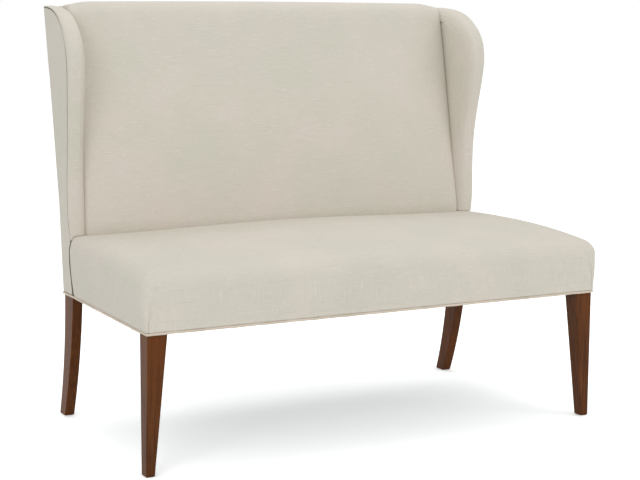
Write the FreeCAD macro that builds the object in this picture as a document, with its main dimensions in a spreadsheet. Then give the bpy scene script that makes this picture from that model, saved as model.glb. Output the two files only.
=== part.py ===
import FreeCAD, Part
import Sketcher
import math
import os
from FreeCAD import Placement, Rotation, Vector

# A wing-back settee with a tight seat and a tight back: a hardwood frame, woven webbing, foam and linen.
# X runs across the seat, Y to the back and Z up. The origin is on the floor under the middle of its box.

SIZES = [
    # overall sizes
    ("overall_width", 1302.0),       # across the widest swell of the seat cover
    ("overall_depth", 762.0),        # from the swell of the seat front to the top edge of the outside back
    ("overall_height", 1113.0),      # floor to the crest of the back
    # wooden frame
    ("leg_height", 341.0),           # floor to the underside of the rails
    ("front_leg_size", 50.0),        # square of a front leg where it meets the rails
    ("front_foot_width", 22.5),
    ("front_foot_depth", 30.0),
    ("front_leg_splay", 5.0),        # the foot stands this far outside the top of the leg
    ("front_foot_setback", 10.0),    # the foot's front face lies this far behind the leg's
    ("foot_bevel", 2.5),
    ("post_thickness", 27.0),
    ("post_inset", 18.0),            # rear posts stand this far inside the front legs, on each side
    ("post_depth", 67.0),            # front to back, at the rails
    ("post_top_depth", 46.0),
    ("rear_foot_depth", 40.0),
    ("rear_leg_sweep", 63.5),        # the rear foot's back edge lies this far behind the rails
    ("rear_leg_bow", 13.0),          # hollow of the sabre curve against its chord
    ("rail_height", 100.0),
    ("rail_thickness", 25.0),
    ("rail_setback", 4.0),           # rails lie behind the faces of the legs
    ("block_reach", 85.0),           # corner blocks, along each rail
    ("block_height", 32.0),
    ("tenon_thickness", 10.0),
    ("tenon_length", 20.0),
    ("seat_tenon_height", 60.0),     # on the rails of the seat
    ("back_tenon_height", 34.0),     # on the rails of the back
    ("bolt_diameter", 8.0),
    ("bolt_grip", 22.0),             # depth of a corner bolt in its leg
    ("bolt_tail", 9.0),              # bolt end behind the face of its block
    ("washer_thickness", 1.5),
    ("nut_height", 6.0),
    ("nut_width", 13.0),             # across flats
    ("block_nose", 12.0),            # width of a rear block's blunt ends
    ("rear_rail_setback", 3.0),      # in front of the rear faces of the posts
    ("back_rail_setback", 2.0),
    ("top_rail_height", 62.0),
    ("lower_rail_height", 58.0),
    ("lower_rail_rise", 4.0),        # above the bend of the posts
    ("slat_width", 58.0),            # upright slats beside the posts, for the ends of the webbing
    # rake of the back
    ("back_rake", 10.3),             # degrees, above the bend of the posts
    ("back_lower_rake", 4.1),        # degrees, below it
    ("back_bend_height", 577.0),
    ("post_below_wing", 13.0),       # the posts end this far under the top of the wings
    # wings
    ("wing_below_crest", 15.0),
    ("wing_thickness", 52.0),
    ("wing_roll", 21.0),             # rounding of the wing's front and top edge, towards the seat
    ("wing_outer_bevel", 9.0),       # the edge's easing on the outside, before the side seam
    ("wing_flare", 4.36),            # degrees that the wings open towards the front
    ("wing_reach", 214.0),           # nose of the wing in front of the outside back, at its fullest
    ("wing_waist_reach", 106.0),     # the same at the waist
    ("wing_waist_height", 640.0),
    ("wing_front_radius", 130.0),
    ("wing_full_drop", 147.0),       # top of the wing down to its fullest part
    ("wing_turn", 65.0),             # degrees that the front radius turns before the flatter top
    ("wing_board_thickness", 18.0),
    ("wing_padding", 24.0),          # in front of and above the wing board
    ("wing_outer_padding", 6.0),     # between the wing board and the outside of the wing
    ("seam_waist_setback", 9.0),     # the side seam behind the nose, at the waist
    ("seam_setback", 20.0),          # the same at the fullest part
    ("seam_drop", 14.0),             # the seam under the top of the wing
    # seat cushion
    ("front_swell", 8.0),            # the seat front swells this far in front of the legs
    ("side_swell", 16.0),            # the seat sides swell this far outside the legs
    ("skirt_reach", 4.5),            # the cover's lower edge outside the legs
    ("seat_front_edge", 478.0),      # height of the seat behind its rounded front edge
    ("seat_edge", 503.0),            # height of the seat along its sides
    ("seat_rear_edge", 499.0),       # the same where the wings stand on it
    ("seat_crown", 15.0),            # rise of the middle above the sides
    ("seat_front_round", 34.0),
    ("seat_side_round", 38.0),
    ("seat_corner_round", 13.0),
    ("side_swell_loss", 4.0),        # the side swell is this much less at the rear
    ("crown_at_front", 0.35),        # share of the crown that is left at the front and rear edges
    ("seat_level_from", 0.6),        # share of the depth at which the side edges are highest
    ("bulge_share", 0.72),           # share of the side swell reached at half height
    ("seat_under_wing", 4.5),        # the wings stand this far over the rear of the seat
    # back cushion
    ("back_padding", 82.0),          # inside back to outside back, beside the wings
    ("back_crown", 15.0),            # rise of the middle of the inside back
    ("crest_round", 28.0),
    ("back_corner_round", 12.0),
    ("back_crown_at_ends", 0.45),    # share of the crown at the foot and at the crest
    ("crest_rear_round", 12.0),
    ("crest_end_round", 14.0),
    ("back_cushion_rise", 30.0),     # foot of the back cushion above the rails
    # cloth, trim and webbing
    ("cover_thickness", 2.5),
    ("outer_cloth", 3.0),            # outside back and side panels, on their backing board
    ("welt_diameter", 6.0),
    ("welt_rise", 1.25),             # middle of the welt above the underside of the rails
    ("dust_cover_thickness", 0.8),
    ("strap_width", 76.0),
    ("strap_thickness", 1.6),
    ("strap_pitch", 150.0),
    ("strap_ramp", 3.0),             # run of a strap between its two levels, beside a crossing
    ("strap_margin", 4.0),           # strap ends lie this far inside the edges of the frame
    ("dust_cover_margin", 8.0),
    # clearances
    ("gap", 0.3),                    # soft pieces and their neighbours
    ("drill_gap", 0.15),             # round a tenon or bolt
    ("glue_gap", 0.05),              # between the corner blocks and the frame
    ("strap_play", 0.2),             # between crossing straps
    ("notch_gap", 0.6),              # dust cover round the legs
    ("cutting_reach", 20.0),         # cutting shapes reach this far past what they cut
]

# Where the cushions have their sections
SEAT_TURNS = (0, 18, 36, 54, 72, 90)              # degrees round the seat's front edge
SEAT_STEPS = (0.01, 0.16, 0.33, 0.52, 0.75, 1.0)  # shares of the seat's depth behind that round
BACK_STEPS = (0.0, 0.07, 0.35, 0.7)               # shares of the back's height under its crest
CREST_TURNS = (0, 18, 36, 54, 72, 90)             # degrees round the crest

doc = FreeCAD.newDocument("settee")
sheet = doc.addObject("Spreadsheet::Sheet", "sizes")
for row, (alias, value) in enumerate(SIZES, start=1):
    sheet.set("A%d" % row, alias)
    sheet.set("B%d" % row, str(value))
    sheet.setAlias("B%d" % row, alias)
doc.recompute()


def size(alias):
    return float(sheet.get(alias))


def tangent(alias):
    return math.tan(math.radians(size(alias)))


gap = size("gap")
cloth = size("cover_thickness")
half_width = size("overall_width") / 2
front = -size("overall_depth") / 2
rear = size("overall_depth") / 2

# faces of the frame
leg_face = front + size("front_swell")
leg_outside = half_width - size("side_swell")
leg_inside = leg_outside - size("front_leg_size")
leg_back = leg_face + size("front_leg_size")
post_outside = leg_outside - size("post_inset")
post_inside = post_outside - size("post_thickness")
rail_bottom = size("leg_height")
rail_top = rail_bottom + size("rail_height")

# heights and outer skins
wing_top = size("overall_height") - size("wing_below_crest")
post_top = wing_top - size("post_below_wing")
bend = size("back_bend_height")
side_skin = post_outside + size("cover_thickness")
welt_radius = size("welt_diameter") / 2
welt_height = rail_bottom + size("welt_rise")
skirt_bottom = welt_height + welt_radius + gap
turn = math.radians(size("wing_turn"))
wing_full = wing_top - size("wing_full_drop")
spare = size("cutting_reach")

finished = []


def finish(label, piece):
    """Give a sub-part its name and list it for the export."""
    piece.Label = label
    finished.append(piece)
    return piece


def feature(name, shape):
    """A shape worked out from the sheet, as an object of the document."""
    piece = doc.addObject("Part::Feature", name)
    piece.Shape = shape
    piece.Placement = shape.Placement
    return piece


def line(first, last):
    return Part.LineSegment(Vector(*first), Vector(*last)).toShape()


def arc(first, via, last):
    return Part.Arc(Vector(*first), Vector(*via), Vector(*last)).toShape()


def slab(edges, direction):
    """A prism on a closed outline."""
    return Part.Face(Part.Wire(edges)).extrude(Vector(*direction))


def polygon(points):
    return Part.makePolygon([Vector(*point) for point in points] + [Vector(*points[0])]).Edges


# The back's lines in side view

def outside_back(height):
    """Y of the outside back at a height: raked above the bend of the posts, steeper below it."""
    at_bend = rear - (wing_top - bend) * tangent("back_rake")
    if height > bend:
        return at_bend + (height - bend) * tangent("back_rake")
    return at_bend - (bend - height) * tangent("back_lower_rake")


def post_rear(height):
    return outside_back(height) - size("outer_cloth") - gap


def post_front(height):
    share = (height - rail_bottom) / (post_top - rail_bottom)
    return post_rear(height) - size("post_depth") - share * (size("post_top_depth") - size("post_depth"))


def wing_plane(side):
    """The wing's outer face: a plane through the rear corner's ends, opened to the front by the flare."""
    foot = Vector(side * side_skin, outside_back(skirt_bottom), skirt_bottom)
    corner = Vector(side * side_skin, outside_back(wing_top), wing_top)
    return Placement(corner, Rotation(corner - foot, side * size("wing_flare")))


def set_in_wing(shape, side):
    """Lay a shape, drawn in its true place but with the wing's outer face on X = 0, onto its side."""
    if side < 0:
        shape = shape.mirror(Vector(0, 0, 0), Vector(1, 0, 0))
    corner = Vector(0, outside_back(wing_top), wing_top)
    shape.Placement = wing_plane(side).multiply(Placement(corner * -1, Rotation())).multiply(shape.Placement)
    return shape


def wing_inner(y, height):
    """Half the room between the wings at a point of their inner faces."""
    plane = wing_plane(1)
    normal = plane.Rotation.multVec(Vector(1, 0, 0))
    face = plane.multVec(Vector(-size("wing_thickness"), 0, 0))
    return face.x - (normal.y * (y - face.y) + normal.z * (height - face.z)) / normal.x


def wing_outline(waist_setback, full_setback, drop, bottom, back, x):
    """The wing's profile: waist, full nose, round shoulder and level top, with a raked rear edge."""
    waist_height = size("wing_waist_height")
    waist = outside_back(waist_height) - size("wing_waist_reach") + waist_setback
    nose = outside_back(wing_full) - size("wing_reach") + full_setback
    half_rise = (wing_full - waist_height) / 2
    half_run = (waist - nose) / 2
    radius = (half_rise ** 2 + half_run ** 2) / (2 * half_run)
    bow = math.asin(half_rise / radius) / 2
    bow_run = radius * (1 - math.cos(bow))
    bow_rise = radius * math.sin(bow)
    middle = (x, (waist + nose) / 2, waist_height + half_rise)
    front_radius = size("wing_front_radius") - full_setback
    top = wing_top - drop
    turned = (nose + front_radius * (1 - math.cos(turn)), wing_full + front_radius * math.sin(turn))
    half_turned = (nose + front_radius * (1 - math.cos(turn / 2)),
                   wing_full + front_radius * math.sin(turn / 2))
    end = (outside_back(top) - back, top)
    chord = math.atan2(end[1] - turned[1], end[0] - turned[0])
    swing = math.pi / 2 - turn - chord
    top_radius = math.hypot(end[0] - turned[0], end[1] - turned[1]) / (2 * math.sin(swing))
    sag = top_radius * (1 - math.cos(swing))
    near_level = ((turned[0] + end[0]) / 2 - sag * math.sin(chord),
                  (turned[1] + end[1]) / 2 + sag * math.cos(chord))
    start = (x, waist, bottom)
    low = (x, waist, waist_height)
    high = (x, nose, wing_full)
    shoulder = (x, turned[0], turned[1])
    corner = (x, end[0], end[1])
    knee = (x, outside_back(bend) - back, bend)
    heel = (x, outside_back(bottom) - back, bottom)
    return [line(start, low),
            arc(low, (x, waist - bow_run, waist_height + bow_rise), middle),
            arc(middle, (x, nose + bow_run, wing_full - bow_rise), high),
            arc(high, (x, half_turned[0], half_turned[1]), shoulder),
            arc(shoulder, (x, near_level[0], near_level[1]), corner),
            line(corner, knee),
            line(knee, heel),
            line(heel, start)]


# Legs and posts

def fixed_rectangle(body, name, height, bounds):
    """A level sketch of a rectangle whose four sides are bound to the sheet."""
    base = [plane for plane in body.Origin.OriginFeatures if plane.Role == "XY_Plane"][0]
    sketch = body.newObject("Sketcher::SketchObject", name)
    sketch.AttachmentSupport = [(base, "")]
    sketch.MapMode = "FlatFace"
    sketch.setExpression("AttachmentOffset.Base.z", height)
    corners = [Vector(0, 0, 0), Vector(10, 0, 0), Vector(10, 10, 0), Vector(0, 10, 0)]
    for index in range(4):
        sketch.addGeometry(Part.LineSegment(corners[index], corners[(index + 1) % 4]), False)
    for index in range(4):
        sketch.addConstraint(Sketcher.Constraint("Coincident", index, 2, (index + 1) % 4, 1))
    for index in (0, 2):
        sketch.addConstraint(Sketcher.Constraint("Horizontal", index))
    for index in (1, 3):
        sketch.addConstraint(Sketcher.Constraint("Vertical", index))
    for kind, edge, point, key in (("DistanceX", 0, 1, "left"), ("DistanceX", 1, 1, "right"),
                                   ("DistanceY", 0, 1, "near"), ("DistanceY", 2, 1, "far")):
        number = sketch.addConstraint(Sketcher.Constraint(kind, -1, 1, edge, point, 5.0))
        sketch.setExpression("Constraints[%d]" % number, bounds[key])
    return sketch


LEG_OUTSIDE = "(sizes.overall_width / 2 - sizes.side_swell)"
LEG_FACE = "(sizes.front_swell - sizes.overall_depth / 2)"


def front_leg(side, label):
    """A square block inside the corner of the rails, over a taper to a small bevelled foot."""
    body = doc.addObject("PartDesign::Body", label + "_blank")

    def bounds(outside, inside, near, far):
        left, right = (outside, inside) if side < 0 else (inside, outside)
        return {"left": "%d * %s" % (side, left), "right": "%d * %s" % (side, right),
                "near": near, "far": far}

    top = bounds(LEG_OUTSIDE, "(%s - sizes.front_leg_size)" % LEG_OUTSIDE,
                 LEG_FACE, "%s + sizes.front_leg_size" % LEG_FACE)
    foot_outside = "(%s + sizes.front_leg_splay)" % LEG_OUTSIDE
    foot_near = "%s + sizes.front_foot_setback" % LEG_FACE
    foot = bounds(foot_outside, "(%s - sizes.front_foot_width)" % foot_outside,
                  foot_near, "%s + sizes.front_foot_depth" % foot_near)
    sole = bounds("(%s - sizes.foot_bevel)" % foot_outside,
                  "(%s - sizes.front_foot_width + sizes.foot_bevel)" % foot_outside,
                  "%s + sizes.foot_bevel" % foot_near,
                  "%s + sizes.front_foot_depth - sizes.foot_bevel" % foot_near)
    block_sketch = fixed_rectangle(body, label + "_block_sketch", "sizes.leg_height", top)
    block = body.newObject("PartDesign::Pad", label + "_block")
    block.Profile = block_sketch
    block.setExpression("Length", "sizes.rail_height")
    tapered(body, label + "_taper", foot, "sizes.foot_bevel", top, "sizes.leg_height")
    body.Tip = tapered(body, label + "_bevel", sole, "0 mm", foot, "sizes.foot_bevel")
    return body


def tapered(body, name, low_bounds, low, high_bounds, high):
    """A wedge with flat sides between two level rectangles, bound to the sheet. Its own Y is upright."""
    wedge = body.newObject("PartDesign::AdditiveWedge", name)
    wedge.Placement = Placement(Vector(0, 0, 0), Rotation(Vector(1, 0, 0), 90))
    wedge.setExpression("Ymin", low)
    wedge.setExpression("Ymax", high)
    for mark, bounds in (("", low_bounds), ("2", high_bounds)):
        wedge.setExpression("X%smin" % mark, bounds["left"])
        wedge.setExpression("X%smax" % mark, bounds["right"])
        wedge.setExpression("Z%smin" % mark, "-(%s)" % bounds["far"])
        wedge.setExpression("Z%smax" % mark, "-(%s)" % bounds["near"])
    return wedge


def rear_post(side, label):
    """Sabre leg and raked back post sawn from one board: a side profile padded by the board's thickness."""
    body = doc.addObject("PartDesign::Body", label + "_blank")
    base = [plane for plane in body.Origin.OriginFeatures if plane.Role == "YZ_Plane"][0]
    sketch = body.newObject("Sketcher::SketchObject", label + "_profile")
    sketch.AttachmentSupport = [(base, "")]
    sketch.MapMode = "FlatFace"
    inside = "(%s - sizes.post_inset - sizes.post_thickness)" % LEG_OUTSIDE
    outside = "-(%s - sizes.post_inset)" % LEG_OUTSIDE
    sketch.setExpression("AttachmentOffset.Base.z", inside if side > 0 else outside)
    foot_rear = post_rear(rail_bottom) + size("rear_leg_sweep")
    foot_front = foot_rear - size("rear_foot_depth")
    bow = size("rear_leg_bow")
    middle = rail_bottom / 2
    rear_middle = (foot_rear + post_rear(rail_bottom)) / 2 - bow
    front_middle = (foot_front + post_front(rail_bottom)) / 2 - bow
    ease = size("foot_bevel")
    corners = [Vector(foot_front + ease, 0, 0), Vector(foot_rear - ease, 0, 0), Vector(foot_rear, ease, 0),
               Vector(post_rear(rail_bottom), rail_bottom, 0), Vector(post_rear(bend), bend, 0),
               Vector(post_rear(post_top), post_top, 0), Vector(post_front(post_top), post_top, 0),
               Vector(post_front(bend), bend, 0), Vector(post_front(rail_bottom), rail_bottom, 0),
               Vector(foot_front, ease, 0)]
    vias = {2: Vector(rear_middle, middle, 0), 8: Vector(front_middle, middle, 0)}
    for index, corner in enumerate(corners):
        after = corners[(index + 1) % len(corners)]
        if index in vias:
            sketch.addGeometry(Part.Arc(corner, vias[index], after), False)
        else:
            sketch.addGeometry(Part.LineSegment(corner, after), False)
    pad = body.newObject("PartDesign::Pad", label + "_pad")
    pad.Profile = sketch
    pad.setExpression("Length", "sizes.post_thickness")
    body.Tip = pad
    return body


# Tenons and bolts: pieces and their holes come from the same places

def rail_line(side, height, along):
    """A point on the middle line of a side rail, at a share of its length from leg to post."""
    inward = size("rail_setback") + size("rail_thickness") / 2
    start = Vector(side * (leg_outside - inward), leg_back, height)
    end = Vector(side * (post_outside - inward), post_front(height), height)
    return start + (end - start) * along


def tenon(place, direction, height, grow):
    """An upright tongue on the end of a rail, rooted in the rail; grown, it is its own mortise."""
    length = size("tenon_length")
    thick = size("tenon_thickness") + 2 * grow
    tall = height + 2 * grow
    tongue = Part.makeBox(2 * length + grow, thick, tall, Vector(-length, -thick / 2, -tall / 2))
    heading = math.degrees(math.atan2(direction.y, direction.x))
    tongue.Placement = Placement(place, Rotation(Vector(0, 0, 1), heading))
    return tongue


def tenon_places():
    """For each rail, the middle of both its shoulders, the way out of the rail and the tenon's height."""
    middle = rail_bottom + size("rail_height") / 2
    front_line = leg_face + size("rail_setback") + size("rail_thickness") / 2
    seat = size("seat_tenon_height")
    places = {"front_rail": [], "rear_rail": [], "back_lower_rail": [], "back_top_rail": []}
    for side, name in ((-1, "left"), (1, "right")):
        across = Vector(side, 0, 0)
        near = rail_line(side, middle, 0)
        far = rail_line(side, middle, 1)
        along = (far - near).normalize()
        places["front_rail"].append((Vector(side * leg_inside, front_line, middle), across, seat))
        places["rear_rail"].append((Vector(side * post_inside, rear_rail_line(), middle), across, seat))
        places["side_rail_" + name] = [(near, along * -1, seat), (far, along, seat)]
        for label, span in (("back_lower_rail", lower_rail_span()), ("back_top_rail", top_rail_span())):
            height = sum(span) / 2
            y = back_board_rear(height) - size("rail_thickness") / 2
            places[label].append((Vector(side * post_inside, y, height), across, size("back_tenon_height")))
    return places


def rear_rail_line():
    return post_rear(rail_bottom) - size("rear_rail_setback") - size("rail_thickness") / 2


def lower_rail_span():
    low = bend + size("lower_rail_rise")
    return low, low + size("lower_rail_height")


def top_rail_span():
    return post_top - size("top_rail_height"), post_top


def bolt_line(side):
    """The leg's inner corner, the bolt's direction and the distance back to the face of its block."""
    outline = block_outline(1)
    first = Vector(outline[0][0], outline[0][1], 0)
    run = Vector(outline[4][0], outline[4][1], 0) - first
    square = Vector(run.y, -run.x, 0).normalize()
    corner = Vector(leg_inside, leg_back, 0)
    distance = (corner - first).dot(square)
    height = rail_bottom + size("rail_height") / 2
    return Vector(side * leg_inside, leg_back, height), Vector(side * square.x, square.y, 0), distance


def corner_bolts(grow, heads):
    """Bolts through the front corner blocks, with washers and nuts; grown, they are their own holes."""
    solids = []
    radius = size("bolt_diameter") / 2 + grow
    washer = size("washer_thickness")
    nut = size("nut_height")
    for side in (-1, 1):
        corner, direction, face = bolt_line(side)
        back = face + size("bolt_tail")
        length = back + size("bolt_grip") + grow
        shank = Part.makeCylinder(radius, length, corner - direction * back, direction)
        if heads:
            seat = corner - direction * (face + washer)
            ring = Part.makeCylinder(size("bolt_diameter"), washer, seat, direction)
            hexagon_nut = hexagon(size("nut_width"), nut)
            hexagon_nut.Placement = Placement(seat - direction * nut, Rotation(Vector(0, 0, 1), direction))
            shank = shank.fuse([ring, hexagon_nut]).removeSplitter()
        solids.append(shank)
    return Part.makeCompound(solids)


def hexagon(across_flats, height):
    radius = across_flats / math.sqrt(3)
    points = [(radius * math.cos(math.pi * k / 3), radius * math.sin(math.pi * k / 3), 0) for k in range(6)]
    return slab(polygon(points), (0, 0, height))


def block_outline(side):
    """A front corner block in plan: along both rails and round the inner corner of the leg."""
    rail_y = leg_face + size("rail_setback") + size("rail_thickness")
    clear = size("glue_gap")
    reach = size("block_reach")
    end_y = leg_back + reach
    return [(side * (leg_inside - reach), rail_y + clear), (side * (leg_inside - clear), rail_y + clear),
            (side * (leg_inside - clear), leg_back + clear),
            (side * (side_rail_inner(leg_back) - clear), leg_back + clear),
            (side * (side_rail_inner(end_y) - clear), end_y)]


def side_rail_lean():
    """How far a side rail closes in for each millimetre of its run to the back."""
    return size("post_inset") / (post_front(rail_bottom) - leg_back)


def side_rail_inner(y):
    outer = leg_outside - size("rail_setback") - side_rail_lean() * (y - leg_back)
    return outer - size("rail_thickness")


# Frame

def frame():
    places = tenon_places()
    spots = [spot for label in sorted(places) for spot in places[label]]
    mortises = feature("mortises", Part.makeCompound([tenon(*spot, size("drill_gap")) for spot in spots]))
    bolt_holes = feature("bolt_holes", corner_bolts(size("drill_gap"), False))
    leg_holes = doc.addObject("Part::Compound", "leg_holes")
    leg_holes.Links = [mortises, bolt_holes]
    posts = {}

    def drilled(label, blank, holes):
        cut = doc.addObject("Part::Cut", label)
        cut.Base = blank
        cut.Tool = holes
        return finish(label, cut)

    def tenoned(label, blank):
        tongues = feature(label + "_tenons", Part.makeCompound([tenon(*spot, 0) for spot in places[label]]))
        joined = doc.addObject("Part::Fuse", label)
        joined.Base = blank
        joined.Tool = tongues
        joined.Refine = True
        return finish(label, joined)

    for side, name in ((-1, "left"), (1, "right")):
        drilled("front_leg_" + name, front_leg(side, "front_leg_" + name), leg_holes)
        posts[side] = rear_post(side, "rear_post_" + name)
        drilled("rear_post_" + name, posts[side], leg_holes)

    front_rail = doc.addObject("Part::Box", "front_rail_blank")
    front_rail.setExpression("Length", "2 * (%s - sizes.front_leg_size)" % LEG_OUTSIDE)
    front_rail.setExpression("Width", "sizes.rail_thickness")
    front_rail.setExpression("Height", "sizes.rail_height")
    front_rail.setExpression("Placement.Base.x", "sizes.front_leg_size - %s" % LEG_OUTSIDE)
    front_rail.setExpression("Placement.Base.y", "%s + sizes.rail_setback" % LEG_FACE)
    front_rail.setExpression("Placement.Base.z", "sizes.leg_height")
    tenoned("front_rail", front_rail)

    rear_rail = doc.addObject("Part::Box", "rear_rail_blank")
    rear_rail.setExpression("Length", "2 * (%s - sizes.post_inset - sizes.post_thickness)" % LEG_OUTSIDE)
    rear_rail.setExpression("Width", "sizes.rail_thickness")
    rear_rail.setExpression("Height", "sizes.rail_height")
    rear_rail_face = rear_rail_line() - size("rail_thickness") / 2
    rear_rail.Placement.Base = Vector(-post_inside, rear_rail_face, rail_bottom)
    tenoned("rear_rail", rear_rail)

    for side, name in ((-1, "left"), (1, "right")):
        far = post_front(rail_top) + spare
        thick = size("rail_thickness")
        near_x = side_rail_inner(leg_back)
        far_x = side_rail_inner(far)
        plan = [(side * (near_x + thick), leg_back, rail_bottom), (side * (far_x + thick), far, rail_bottom),
                (side * far_x, far, rail_bottom), (side * near_x, leg_back, rail_bottom)]
        blank = feature("side_rail_blank_" + name, slab(polygon(plan), (0, 0, size("rail_height"))))
        scribed = doc.addObject("Part::Cut", "side_rail_scribed_" + name)
        scribed.Base = blank
        scribed.Tool = posts[side]
        tenoned("side_rail_" + name, scribed)

    middle = rail_bottom + size("rail_height") / 2
    base = middle - size("block_height") / 2
    for side, name in ((-1, "left"), (1, "right")):
        plan = [(x, y, base) for x, y in block_outline(side)]
        blank = feature("front_block_blank_" + name, slab(polygon(plan), (0, 0, size("block_height"))))
        drilled("corner_block_front_" + name, blank, bolt_holes)
        reach = size("block_reach")
        nose = size("block_nose")
        near_y = rear_rail_face - size("glue_gap")
        end_y = near_y - reach
        near_x = side_rail_inner(near_y) - size("glue_gap")
        end_x = side_rail_inner(end_y) - size("glue_gap")
        plan = [(side * near_x, near_y, base), (side * end_x, end_y, base),
                (side * (end_x - nose), end_y, base), (side * (near_x - reach), near_y - nose, base),
                (side * (near_x - reach), near_y, base)]
        finish("corner_block_rear_" + name,
               feature("rear_block_" + name, slab(polygon(plan), (0, 0, size("block_height")))))

    finish("corner_bolts", feature("bolts", corner_bolts(0, True)))

    # rails and slats of the back follow the rake between the posts
    thick = size("rail_thickness")

    def raked_board(x, low, high, width):
        profile = [(x, back_board_rear(low), low), (x, back_board_rear(high), high),
                   (x, back_board_rear(high) - thick, high), (x, back_board_rear(low) - thick, low)]
        return slab(polygon(profile), (width, 0, 0))

    for label, (low, high) in (("back_lower_rail", lower_rail_span()), ("back_top_rail", top_rail_span())):
        tenoned(label, feature(label + "_blank", raked_board(-post_inside, low, high, 2 * post_inside)))
    low = lower_rail_span()[1] + size("glue_gap")
    high = top_rail_span()[0] - size("glue_gap")
    width = size("slat_width")
    reach = post_inside - size("glue_gap")
    for x, name in ((-reach, "left"), (reach - width, "right")):
        finish("back_slat_" + name, feature("back_slat_blank_" + name, raked_board(x, low, high, width)))


def back_board_rear(height):
    """Y of the rear faces of the boards between the posts, on the raked line above the bend."""
    return post_rear(bend) + (height - bend) * tangent("back_rake") - size("back_rail_setback")


# Cushions

def seat_half_width(depth_in):
    """Half the seat's widest width at a distance behind its front: it closes in behind the rounded front."""
    run = max(0.0, depth_in - size("seat_front_round"))
    return half_width - side_rail_lean() * run - side_loss(depth_in)


def side_loss(depth_in):
    return size("side_swell_loss") * max(0.0, depth_in - size("seat_front_round")) / (seat_back() - front)


def seat_section(y, height_share, width_share, inset, bottom):
    """One cross-section of the seat: flat below, swelling sides, round shoulders and a crowned top."""
    depth_in = y - front
    share = min(max(depth_in / (seat_back() - front), 0.0), 1.0)
    level = size("seat_level_from")
    edge = size("seat_edge")
    if share < level:
        edge -= (size("seat_edge") - size("seat_front_edge")) * (1 - share / level) ** 2
    else:
        edge -= (size("seat_edge") - size("seat_rear_edge")) * ((share - level) / (1 - level)) ** 2
    top = edge - inset - (size("seat_front_round") - inset) * (1 - height_share)
    least = size("crown_at_front")
    crown = size("seat_crown") * (least + (1 - least) * math.sqrt(math.sin(math.pi * share)))
    wide = seat_half_width(depth_in) - inset - (size("seat_corner_round") - inset) * (1 - width_share)
    low = wide - (size("side_swell") - size("skirt_reach")) + side_loss(depth_in)
    shoulder = size("seat_side_round") - inset
    shoulder_z = top - shoulder
    knee = (bottom + shoulder_z) / 2
    bulge = low + size("bulge_share") * (wide - low)
    c = shoulder * (1 - math.cos(math.pi / 4))
    flat = wide - shoulder
    return Part.Wire([
        line((-low, y, bottom), (low, y, bottom)),
        arc((low, y, bottom), (bulge, y, knee), (wide, y, shoulder_z)),
        arc((wide, y, shoulder_z), (wide - c, y, top - c), (flat, y, top)),
        arc((flat, y, top), (0, y, top + crown), (-flat, y, top)),
        arc((-flat, y, top), (-wide + c, y, top - c), (-wide, y, shoulder_z)),
        arc((-wide, y, shoulder_z), (-bulge, y, knee), (-low, y, bottom))])


def seat_back():
    """Rear face of the seat cushion, just in front of the side seam and the posts."""
    return outside_back(size("wing_waist_height")) - size("wing_waist_reach") + size("seat_under_wing")


def seat_form(inset, bottom, back):
    """The seat's outer form, or the same form drawn in on every side but the bottom and the back."""
    sections = []
    front_round = size("seat_front_round") - inset
    corner_round = size("seat_corner_round") - inset
    for angle in SEAT_TURNS:
        turn_angle = math.radians(angle)
        step = front_round * (1 - math.cos(turn_angle))
        inside = max(0.0, 1 - step / corner_round)
        sections.append(seat_section(front + inset + step, math.sin(turn_angle),
                                     math.sqrt(1 - inside ** 2), inset, bottom))
    first = front + inset + front_round
    for share in SEAT_STEPS:
        sections.append(seat_section(first + (back - first) * share, 1.0, 1.0, inset, bottom))
    return Part.makeLoft(sections, True, True)


def back_front(height):
    """Y of the inside back beside the wings."""
    at_bend = outside_back(bend) - size("back_padding")
    return at_bend + (height - bend) * tangent("back_rake")


def back_section(height, shrink, inset):
    """One level section of the back cushion: straight behind, with a crowned front and round corners."""
    low = back_bottom()
    share = min(max((height - low) / (size("overall_height") - low), 0.0), 1.0)
    least = size("back_crown_at_ends")
    crown = size("back_crown") * (least + (1 - least) * math.sin(math.pi * share))
    front_y = back_front(height) + inset + shrink * (size("crest_round") - inset)
    skin = outside_back(min(height, wing_top)) - size("outer_cloth") - gap
    rear_y = skin - shrink * size("crest_rear_round")
    side = size("gap") + inset + shrink * size("crest_end_round")
    half_rear = wing_inner(rear_y, height) - side
    corner = size("back_corner_round")
    half_front = wing_inner(front_y + corner, height) - side
    c = corner * (1 - math.cos(math.pi / 4))
    z = height
    flat = half_front - corner
    side_y = front_y + corner
    return Part.Wire([
        line((-half_rear, rear_y, z), (half_rear, rear_y, z)),
        line((half_rear, rear_y, z), (half_front, side_y, z)),
        arc((half_front, side_y, z), (half_front - c, front_y + c, z), (flat, front_y, z)),
        arc((flat, front_y, z), (0, front_y - crown, z), (-flat, front_y, z)),
        arc((-flat, front_y, z), (-half_front + c, front_y + c, z), (-half_front, side_y, z)),
        line((-half_front, side_y, z), (-half_rear, rear_y, z))])


def back_bottom():
    return rail_top + size("back_cushion_rise")


def back_form(inset, low):
    """The back cushion's outer form from a height up, or the same form drawn in on all sides but the foot."""
    top = size("overall_height") - inset
    crest = size("crest_round") - inset
    sections = []
    for share in BACK_STEPS:
        sections.append(back_section(low + (top - crest - low) * share, 0, inset))
    for angle in CREST_TURNS:
        lift = math.sin(math.radians(angle))
        sections.append(back_section(top - crest + crest * lift, 1 - math.cos(math.radians(angle)), inset))
    return Part.makeLoft(sections, True, True)


def frame_zone(front_line, top):
    """A prism behind a line in side view, right across the settee: it keeps soft pieces out of the frame."""
    x = size("overall_width")
    far = 2 * rear
    profile = [(-x, front_line(rail_bottom), rail_bottom), (-x, front_line(bend), bend),
               (-x, front_line(top), top), (-x, far, top), (-x, far, rail_bottom)]
    return slab(polygon(profile), (2 * x, 0, 0))


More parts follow.
